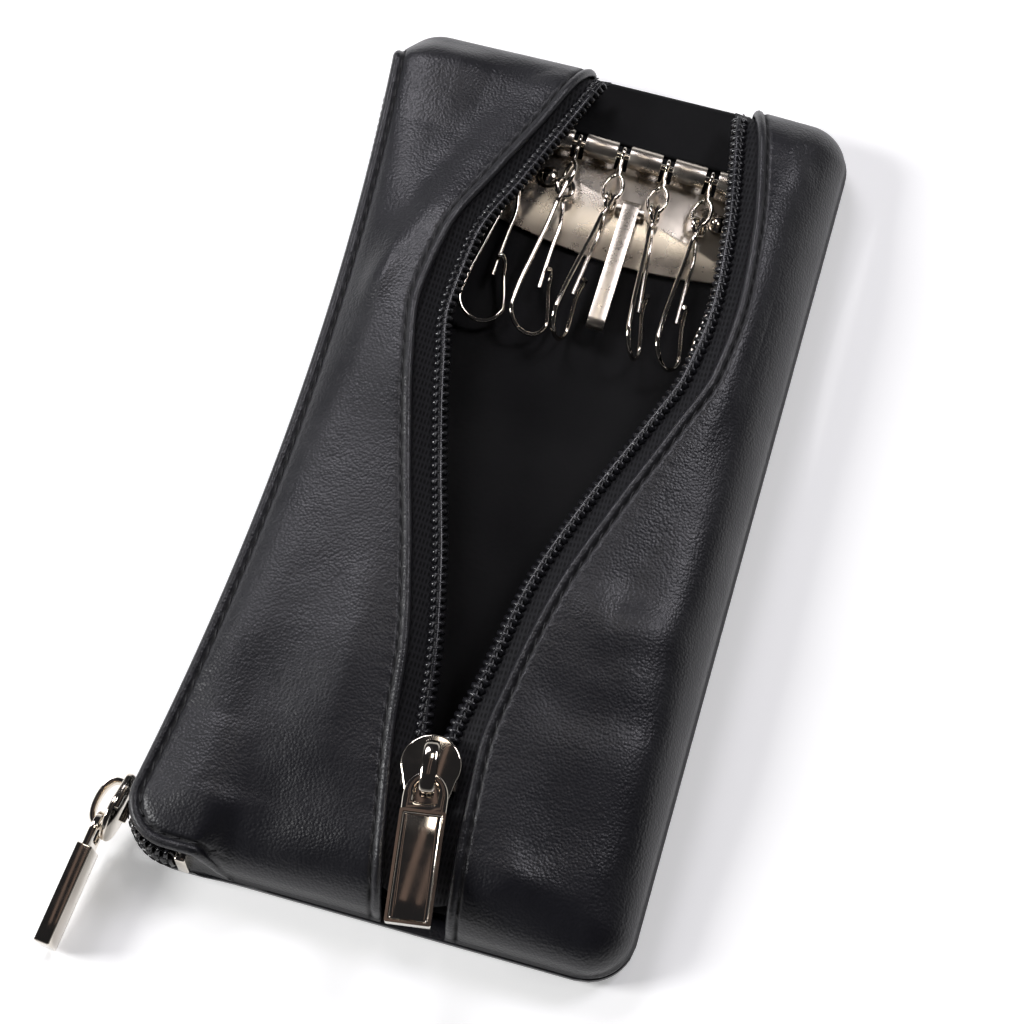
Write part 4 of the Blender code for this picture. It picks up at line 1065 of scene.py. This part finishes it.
def sweep_bar(bm, stations):
    """A bar bridged through stations of (place, across, up, half width, half height)."""
    last, first = None, None
    for place, across, up, half_w, half_h in stations:
        at = axes_at(place, across, up, across.cross(up))
        ring = bmesh.ops.create_circle(bm, segments=16, radius=1.0)["verts"]
        for vert in ring:
            x, y = (math.copysign(abs(v) ** 0.6, v) for v in vert.co.xy)
            vert.co = at @ Vector((x * half_w, y * half_h, 0))
        edges = list({e for v in ring for e in v.link_edges})
        if last is None:
            first = edges
        else:
            bmesh.ops.bridge_loops(bm, edges=last + edges)
        last = edges
    for ends in (first, last):
        bmesh.ops.contextual_create(bm, geom=ends)
    bmesh.ops.recalc_face_normals(bm, faces=bm.faces)


def join_into(bm, part):
    """Moves a finished bmesh into another one."""
    mesh = bpy.data.meshes.new("part")
    part.to_mesh(mesh)
    part.free()
    bm.from_mesh(mesh)
    bpy.data.meshes.remove(mesh)


# %% Slider
SLIDER_WIDTH, SLIDER_LENGTH, SLIDER_PLATE = 0.0084, 0.0100, 0.0009
WALL_HALF, WALL_BACK, KEYHOLE_WAIST = 0.0003, -0.0008, 0.72
BRIDGE_HALF, BRIDGE_WIDTH, BRIDGE_HEIGHT, BRIDGE_WALL, SQUARE = 0.0040, 0.0022, 0.0032, 0.0009, 0.45


def keyhole():
    half_w, half_l = SLIDER_WIDTH / 2, SLIDER_LENGTH / 2
    return (arc(half_w, half_w, -28, 206, 39, 0.0, half_l - half_w)
            + arc(half_w * KEYHOLE_WAIST * 1.02, 0.0012, 180, 360, 9, 0.0, 0.0012 - half_l))


def bridge_rise(y, reach, height):
    return height * max(1 - (y / reach) ** 2, 0.0) ** (SQUARE / 2)


def slider(name, place, lip, body, node):
    bm = bmesh.new()
    slab(bm, keyhole(), GAP, GAP + SLIDER_PLATE, 0.0003)
    inner = GAP / 2 + COIL_WIDTH + CLEAR + WALL_HALF
    for way in (-1, 1):
        wall = rounded_box(WALL_HALF, SLIDER_LENGTH * 0.17, 0.00025, way * inner, WALL_BACK)
        slab(bm, wall, -lip, GAP + SLIDER_PLATE * 0.4, 0.00015, 2)
    base = GAP + SLIDER_PLATE / 2
    mid = BRIDGE_HALF - BRIDGE_WALL / 2
    tall = GAP + SLIDER_PLATE + BRIDGE_HEIGHT - BRIDGE_WALL / 2 - base
    line = [Vector((0, y, base + bridge_rise(y, mid, tall))) for y, _ in arc(mid, mid, 0, 180, 32)]
    stations = []
    for i, point in enumerate(line):
        up = (line[min(i + 1, 32)] - line[max(i - 1, 0)]).normalized().cross(X).normalized()
        wide = BRIDGE_WIDTH / 2 * (0.86 + 0.14 * math.sin(math.pi * i / 32))
        stations.append((point, X, up, wide, BRIDGE_WALL / 2))
    arch = bmesh.new()
    sweep_bar(arch, stations)
    join_into(bm, arch)
    bmesh.ops.transform(bm, matrix=place, verts=bm.verts)
    return finish(name, bm, nickel, node, body, 35)


# %% Pull: an arched eye and a framed, sunk panel
PULL_WIDTH, PULL_THICK, EYE_THICK, FRAME, SLOT = 0.0063, 0.0022, 0.0010, 0.0008, 0.0034
EYE_MID, EYE_CROWN, SLOT_MID, SLOT_CROWN, SLOT_CORNER = -0.0031, 0.0036, -0.0022, 0.0017, 0.0004
PANEL_INSET, PANEL_SLOPE, PANEL_SINK, PANEL_CROWN = 0.00055, 0.00022, 0.00045, 0.00013


def pull(name, place, reach, body, node):
    shoulder = BRIDGE_HALF + BRIDGE_WALL + FRAME
    half, slot = PULL_WIDTH / 2 * 0.985, SLOT / 2
    bm = bmesh.new()
    eye = arc(half, EYE_CROWN, 0, 180, 20, 0.0, EYE_MID)
    eye += [(-half, -shoulder - 0.0002), (half, -shoulder - 0.0002)]
    low = -BRIDGE_HALF
    hole = arc(slot, SLOT_CROWN, 0, 180, 15, 0.0, SLOT_MID)
    hole += [(-slot, low + SLOT_CORNER), (-slot + SLOT_CORNER, low),
             (slot - SLOT_CORNER, low), (slot, low + SLOT_CORNER)]
    slab(bm, eye, -EYE_THICK / 2, EYE_THICK / 2, 0.00022, 3, hole)
    bar = bmesh.ops.create_cube(bm, size=1.0)["verts"]
    bmesh.ops.scale(bm, vec=(PULL_WIDTH, reach - shoulder + FRAME, PULL_THICK), verts=bar)
    bmesh.ops.translate(bm, vec=(0, -(reach + shoulder - FRAME) / 2, 0), verts=bar)
    top = next(f for v in bar for f in v.link_faces if f.normal.z > 0.9)
    bmesh.ops.inset_region(bm, faces=[top], thickness=PANEL_INSET, depth=0.0)
    bmesh.ops.inset_region(bm, faces=[top], thickness=PANEL_SLOPE, depth=-PANEL_SINK)
    soften(bm, {e for v in bar for e in v.link_edges}, 0.00026, angle=60)
    panel = max((f for f in bm.faces if f.normal.z > 0.99), key=lambda f: f.calc_area())
    deep, reach_x = panel.calc_center_median().z, max(v.co.x for v in panel.verts)
    ends = [e for e in panel.edges if abs(e.verts[0].co.y - e.verts[1].co.y) < 0.0001]
    bmesh.ops.subdivide_edges(bm, edges=ends, cuts=9, use_grid_fill=True)
    for vert in bm.verts:
        if abs(vert.co.z - deep) < 0.00001:
            vert.co.z += PANEL_CROWN * max(1 - (vert.co.x / reach_x) ** 2, 0.0)
    bmesh.ops.transform(bm, matrix=place, verts=bm.verts)
    return finish(name, bm, nickel, node, body, 28)


def on_bridge(y, way):
    """Moves a pull's eye to the middle of the bridge's opening, y along the slider."""
    top, foot = GAP + SLIDER_PLATE, GAP + SLIDER_PLATE / 2
    rise = bridge_rise(y, BRIDGE_HALF - BRIDGE_WALL, top + BRIDGE_HEIGHT - BRIDGE_WALL - foot)
    return Matrix.Translation((0, way * y, (top + foot + rise) / 2))


# %% Place the front slider and its pull
HANG, SIDE_HANG = 0.0011, 0.0018
ends = []
for y in (HALF_L * ZIP_SHARES[CLOSED][0] + 0.0015, HALF_L * ZIP_SHARES[CLOSED + 1][0]):
    ends.append((zip_centre(y), y, tape_inner_point(-1, y).z + GAP + COIL_HEIGHT))
run = (Vector(ends[1]) - Vector(ends[0])).normalized()
across = -run.cross(Z).normalized()
across = -across if across.x < 0 else across
front_at = axes_at(Vector(ends[0]) + Z * GAP, across, -run, across.cross(-run))
slider("front_slider_casting", front_at, 0.0006, "front_slider", "front_zip_slider")
pull("front_pull_tab", front_at @ on_bridge(HANG, -1), 0.0204, "front_pull", "front_zip_pull")

# %% Place the side slider and its pull
swing = math.atan2(-HALF_L + 0.0042, ARC)
radial = Vector((math.cos(swing), math.sin(swing), 0))
centre = Vector((ARC_X, 0, 0)) + radial * (ARC - (COIL_HEIGHT - LEATHER) - GAP)
along = Vector((radial.y, -radial.x, 0))
side_at = axes_at((centre.x, centre.y, CHAIN_MID), along.cross(-radial), along, -radial)
slider("side_slider_casting", side_at, 0.00015, "side_slider", "side_zip_slider")
pull_turn = (Matrix.Rotation(math.pi - math.radians(5), 4, "Z")
             @ Matrix.Rotation(math.radians(2), 4, "X") @ Matrix.Rotation(math.radians(2), 4, "Y"))
pull("side_pull_tab", side_at @ on_bridge(SIDE_HANG, 1) @ pull_turn, 0.0194,
     "side_pull", "side_zip_pull")


# %% Zip stops: bent strips clamped over the coil
def stop_clip(name, node, rounding):
    low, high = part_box(node)
    bm = bmesh.new()
    verts = bmesh.ops.create_cube(bm, size=1.0)["verts"]
    bmesh.ops.scale(bm, vec=high - low, verts=verts)
    soften(bm, bm.edges[:], rounding)
    bmesh.ops.translate(bm, vec=(low + high) / 2, verts=bm.verts)
    return finish(name, bm, nickel, node, sharp=35)


stop_clip("front_stop_clip", "front_zip_stop", 0.00016)
stop_clip("side_stop_clip", "side_zip_stop", 0.0003)

# %% [markdown]
# ## Hook rail
# One stamped plate carries everything: its upper edge is rolled round a rod, with gaps where the
# links hang. Spinning a strip round the rod gives the roll its real open seam, which a plain
# tube would not have.

# %% Plate, knuckles and lug
RAIL = Matrix.Translation((RAIL_X, RAIL_Y, RAIL_Z)) @ Matrix.Rotation(RAIL_TILT, 4, "Y")
RAIL_LENGTH, HOOK_PITCH, KNUCKLE_GAP, PLATE = 0.0442, 0.007, 0.0020, 0.0005
PLATE_TOP, PLATE_DROP, SIDE_DROP, PLATE_CORNER = -0.0018, 0.0176, 0.0146, 0.0004
LUG_DROP, LUG_BAR, LUG_EAR, PLATE_EDGE = 0.0088, 0.00045, 0.0005, 0.00012
ROLL_START, ROLL_ANGLE = 0.0022, math.radians(268)
STRIP, STRIP_THICK, STRIP_LENGTH = 0.0026, 0.0005, 0.0225
FIRST_HOOK = -2.5 * HOOK_PITCH
LUG_Z = -KNUCKLE + PLATE + GAP + STRIP_THICK + GAP + LUG_BAR


def knuckle_spans():
    edges = [-RAIL_LENGTH / 2]
    for k in range(6):
        middle = FIRST_HOOK + k * HOOK_PITCH
        edges += [middle - KNUCKLE_GAP / 2, middle + KNUCKLE_GAP / 2]
    edges.append(RAIL_LENGTH / 2)
    return zip(edges[0::2], edges[1::2])


def knuckle(start, end, low):
    """A strip of the plate's edge, rolled most of the way round the rod."""
    bm = bmesh.new()
    corners = [bm.verts.new((x, -ROLL_START, z)) for x, z in
               ((start, low), (end, low), (end, low + PLATE), (start, low + PLATE))]
    flat = bmesh.ops.extrude_face_region(bm, geom=[bm.faces.new(corners)])["geom"]
    verts = [g for g in flat if isinstance(g, bmesh.types.BMVert)]
    bmesh.ops.translate(bm, verts=verts, vec=(0, ROLL_START, 0))
    face = [g for g in flat if isinstance(g, bmesh.types.BMFace)]
    bmesh.ops.spin(bm, geom=face, cent=(0, 0, 0), axis=(1, 0, 0), angle=ROLL_ANGLE, steps=26,
                   use_merge=False)
    bmesh.ops.remove_doubles(bm, verts=bm.verts, dist=0.00001)
    inside = [f for f in bm.faces if all(len(e.link_faces) > 2 for e in f.edges)]
    bmesh.ops.delete(bm, geom=inside, context="FACES_ONLY")
    bmesh.ops.recalc_face_normals(bm, faces=bm.faces)
    soften(bm, bm.edges[:], 0.00009, 2, 60)
    return bm


def lug(low):
    """The bridge on the plate that the strip loop hangs from, drawn flat and stood up."""
    side, mid = STRIP / 2 + CLEAR, low + PLATE / 2
    ear, over, under = side + LUG_EAR, LUG_Z + LUG_BAR, LUG_Z - LUG_BAR
    bm = bmesh.new()
    slab(bm, [(-ear, mid), (-ear, over), (ear, over), (ear, mid), (side, mid), (side, under),
              (-side, under), (-side, mid)], -LUG_BAR, LUG_BAR, PLATE_EDGE, 2)
    bmesh.ops.rotate(bm, cent=(0, 0, 0), matrix=Matrix.Rotation(math.pi / 2, 3, "X"), verts=bm.verts)
    bmesh.ops.translate(bm, vec=(0, -LUG_DROP, 0), verts=bm.verts)
    return bm


def hook_plate():
    half, low = RAIL_LENGTH / 2, -KNUCKLE
    curve = [(between(-half, half, k / 40),
              -SIDE_DROP - (PLATE_DROP - SIDE_DROP) * math.sin(math.pi * k / 40)) for k in range(1, 40)]
    outline = [(half, PLATE_TOP), (-half, PLATE_TOP), (-half, -SIDE_DROP + PLATE_CORNER),
               (-half + PLATE_CORNER, -SIDE_DROP - 0.0001), *curve,
               (half - PLATE_CORNER, -SIDE_DROP - 0.0001), (half, -SIDE_DROP + PLATE_CORNER)]
    bm = bmesh.new()
    slab(bm, outline, low, low + PLATE, PLATE_EDGE, 2)
    for start, end in knuckle_spans():
        join_into(bm, knuckle(start, end, low))
    join_into(bm, lug(low))
    bmesh.ops.transform(bm, matrix=RAIL, verts=bm.verts)
    return finish("plate_stamping", bm, nickel_sheet, "hook_plate", sharp=30)


hook_plate()

# %% Rod and rivets, spun from half profiles
ROD, HEAD = 0.0005, 0.0009
RIVET, SHANK, TAIL, DOME = 0.0016, 0.0008, 0.0013, 0.0008
RIVET_REACH, RIVET_DROP = 0.0135, 0.0064


def spun(name, profile, at, node, steps=28):
    bm = bmesh.new()
    verts = [bm.verts.new((radius, 0, height)) for radius, height in profile]
    edges = [bm.edges.new(pair) for pair in zip(verts, verts[1:])]
    bmesh.ops.spin(bm, geom=verts + edges, cent=(0, 0, 0), axis=(0, 0, 1), angle=math.tau,
                   steps=steps, use_merge=True)
    bmesh.ops.remove_doubles(bm, verts=bm.verts, dist=0.00001)
    bmesh.ops.recalc_face_normals(bm, faces=bm.faces)
    bmesh.ops.transform(bm, matrix=at, verts=bm.verts)
    return finish(name, bm, nickel, node, sharp=40)


half = RAIL_LENGTH / 2 + GAP
rod_end = [(ROD, half), (HEAD, half), (HEAD, half + HEAD * 0.6), (HEAD * 0.7, half + HEAD),
           (0.0, half + HEAD)]
rod = [(radius, -height) for radius, height in reversed(rod_end)] + rod_end
spun("rail_rod", rod, RAIL @ Matrix.Rotation(math.pi / 2, 4, "Y"), "hook_rod")
top, wall = -KNUCKLE + PLATE + GAP, -KNUCKLE - 2 * GAP - LINING
rivet = arc(RIVET, DOME, 90, 0, 9, 0.0, top + 0.00012)
rivet += [(RIVET, top), (SHANK, top), (SHANK, wall), (TAIL, wall), (TAIL, wall - LINING),
          (0.0, wall - LINING)]
for name, way in (("left", -1), ("right", 1)):
    at = RAIL @ Matrix.Translation((way * RIVET_REACH, -RIVET_DROP, 0))
    spun("rivet_dome_" + name, rivet, at, "plate_rivet_" + name)

# %% [markdown]
# ## Links, hooks and the strip
# Links and snap hooks are bent from one wire each. The bend points are those of the solids, and
# a smooth curve through them with a round section gives the drawn wire its even shine.

# %% Bend points of a link and of a hook
WIRE, LINK_EYE, NECK = 0.00035, 0.00115, 0.00045
RING_W, RING_L, RING_AT = 0.00145, 0.0024, 0.0062
HOOK_EYE, HOOK_LENGTH, HOOK_LOOP = 0.0014, 0.0213, 0.0034
# one row a hook: twist of the link, roll, turn and lift of the hook, lift of the link, degrees
HOOK_POSES = ((30, 8, 0.5, -3.0, 8.0), (30, 34, 1.6, -2.0, 8.0), (75, 70, -4.0, 3.0, 6.0),
              (75, 70, 7.0, 3.0, 6.0), (75, 55, 2.5, 3.0, 6.0), (50, 20, 1.5, 0.0, 4.0))


def link_points(twist):
    end = RING_AT + RING_L
    downs = [-LINK_EYE * math.cos(math.radians(a)) for a in (30, 60, 90, 120, 150)]
    downs += spread(LINK_EYE, RING_AT - RING_L, 3)[1:]
    downs += [RING_AT - RING_L * math.cos(math.radians(a)) for a in (40, 70, 100, 130, 155)]
    strand = []
    for down in downs:
        eye = math.sqrt(max(LINK_EYE ** 2 - down ** 2, 0.0))
        ring = RING_W * math.sqrt(max(1 - ((down - RING_AT) / RING_L) ** 2, 0.0))
        neck = 0.0 if abs(down) > end - RING_L / 3 or down < -LINK_EYE / 2 else NECK
        a, half = twist * ease(down, LINK_EYE, RING_AT - RING_L / 2), max(eye, ring, neck)
        strand.append(Vector((half * math.sin(a), -down, half * math.cos(a))))
    back = [Vector((-p.x, p.y, -p.z)) for p in reversed(strand)]
    return [Vector((0, LINK_EYE, 0))] + strand + [Vector((0, -end, 0))] + back


def hook_points():
    """The hook's wire, from its free end up, round the eye, and down to the loop and its catch."""
    eye, loop, length, leg = HOOK_EYE, HOOK_LOOP, HOOK_LENGTH, 2 * WIRE + GAP
    free = [(eye * w, -length * d, 0)
            for w, d in ((0.30, 0.80), (0.40, 0.65), (0.55, 0.45), (0.75, 0.28))]
    free += [(leg / 2, -eye * 2.1, 0), (leg / 2, -eye * 1.4, -leg / 4)]
    around = [(x, y, leg * (k / 20 - 0.5)) for k, (x, y) in enumerate(arc(eye, eye, -50, 450, 20))]
    fixed = [(-leg / 2, -eye * 1.4, leg / 4), (-leg / 2 - eye * 0.10, -eye * 2.1, 0)]
    fixed += [(-loop * w, -length * d, 0)
              for w, d in ((0.34, 0.32), (0.52, 0.48), (0.70, 0.64), (0.88, 0.80))]
    bottom = [(x, y, 0) for x, y in arc(loop, loop, 175, 355, 10, 0.0, -length)]
    catch = [(loop * w, -length * d, leg * h) for w, d, h in
             ((0.80, 0.88, 0), (0.62, 0.78, 0), (0.5, 0.69, 0.3), (0.30, 0.655, 0.9), (0.08, 0.665, 1))]
    return free + around + fixed + bottom + catch


# %% Bend the wires and hang them
def bent_wire(name, points, at, node, body, steps, closed):
    bm = bmesh.new()
    tube_into(bm, [at @ p for p in smooth_path(points, steps, closed)], WIRE, 3, closed)
    return finish(name, bm, nickel, node, body)


for k, (twist, roll, turn, lift, link_lift) in enumerate(HOOK_POSES):
    number = str(k + 1)
    at = (RAIL @ Matrix.Translation((FIRST_HOOK + k * HOOK_PITCH, 0, 0))
          @ Matrix.Rotation(-math.radians(link_lift), 4, "X"))
    bent_wire("link_wire_" + number, link_points(math.radians(twist)), at,
              "key_link_" + number, "link_" + number, 3, True)
    at = (at @ Matrix.Translation((0, -RING_AT - RING_L - GAP, 0))
          @ Matrix.Rotation(-math.radians(lift - link_lift), 4, "X")
          @ Matrix.Rotation(math.radians(turn), 4, "Z") @ Matrix.Rotation(math.radians(roll), 4, "Y"))
    bent_wire("hook_wire_" + number, hook_points(), at,
              "key_hook_" + number, "hook_" + number, 4, False)


# %% The long strip loop
def strip_loop():
    rings = []
    outer = LUG_BAR + GAP + STRIP_THICK
    for size in (outer, LUG_BAR + GAP):
        rings.append(arc(size, size, 90, -90, 12)
                     + arc(size, size, -90, -270, 12, 2 * outer - STRIP_LENGTH))
    bm = bmesh.new()
    slab(bm, rings[0], -STRIP / 2, STRIP / 2, 0.00012, 2, rings[1])
    at = (RAIL @ Matrix.Translation((0, -LUG_DROP, LUG_Z)) @ Matrix.Rotation(-math.radians(2), 4, "X")
          @ axes_at((0, 0, 0), Y, Z, X))
    bmesh.ops.transform(bm, matrix=at, verts=bm.verts)
    bmesh.ops.recalc_face_normals(bm, faces=bm.faces)
    return finish("strip_loop", bm, nickel_sheet, "car_key_loop", "key_loop", 30)


strip_loop()

# %% [markdown]
# ## Floor and light
# The photograph is a cut-out on white, so the floor is a white sheet that keeps the shadow. Two
# soft lights stand behind the case and one low at its left. A small warm one lights the plate,
# and two narrow warm strips overhead give the pulls their streaks. The world is dark overhead
# and behind, which leaves dark reflections in the metal and slopes of shine on the leather.

# %% Floor
bm = bmesh.new()
bmesh.ops.create_grid(bm, x_segments=1, y_segments=1, size=3.0)
floor_mesh = bpy.data.meshes.new("floor")
bm.to_mesh(floor_mesh)
bm.free()
floor = new_object("floor", floor_mesh)
paper, tree, shader = new_material("paper", (0.88, 0.88, 0.88), 0.9)
rays = add(tree, "ShaderNodeLightPath").outputs
seen = maths(tree, "ADD", rays["Is Camera Ray"], rays["Is Glossy Ray"])
seen = maths(tree, "ADD", seen, rays["Is Transmission Ray"])
shader.inputs["Emission Color"].default_value = (1.0, 1.0, 1.0, 1.0)
plug(tree, shader.inputs["Emission Strength"], maths(tree, "MULTIPLY", seen, 0.35))
floor_mesh.materials.append(paper)

# %% World: white at the horizon in front, dark overhead and behind the case
world = bpy.data.worlds.new("studio")
scene.world = world
world.use_nodes = True
tree = world.node_tree
sky = tree.nodes["Background"]
direction = add(tree, "ShaderNodeTexCoord").outputs["Generated"]
parts = add(tree, "ShaderNodeSeparateXYZ", [(0, direction)]).outputs
dark = maths(tree, "MAXIMUM", ramp(tree, parts["Z"], 0.0, 0.30),
             ramp(tree, parts["Y"], -0.4, 0.5, 0.75, 0.0))
plug(tree, sky.inputs["Color"], blend_colour(tree, dark, (0.8, 0.8, 0.8), (0.020, 0.020, 0.022)))
sky.inputs["Strength"].default_value = 1.0

# %% Lamps
COOL, WHITE, WARM, AMBER = (0.95, 0.93, 1.0), (1.0, 1.0, 1.0), (1.0, 0.93, 0.84), (1.0, 0.70, 0.58)


def soft_light(name, place, size, power, colour, level=False):
    lamp = bpy.data.lights.new(name, "AREA")
    lamp.shape = "RECTANGLE"
    lamp.size, lamp.size_y = size
    lamp.energy = power
    lamp.color = colour
    holder = new_object(name, lamp)
    holder.location = place
    if not level:
        holder.rotation_euler = Vector(place).to_track_quat("Z", "Y").to_euler()
    print("light", name, power, "W")


soft_light("north_west_light", (-0.46, 0.56, 0.80), (0.42, 0.26), 3.7, COOL)
soft_light("north_east_light", (0.44, 0.52, 0.80), (0.30, 0.25), 3.0, COOL)
soft_light("west_light", (-0.85, -0.25, 0.60), (0.30, 0.30), 9.0, WHITE)
soft_light("plate_light", (-0.02, 0.38, 0.92), (0.12, 0.16), 0.34, WARM)
soft_light("streak_left", (-0.09, 0.03, 0.97), (0.045, 0.55), 0.012, AMBER, True)
soft_light("streak_right", (0.02, 0.03, 0.97), (0.035, 0.55), 0.010, AMBER, True)
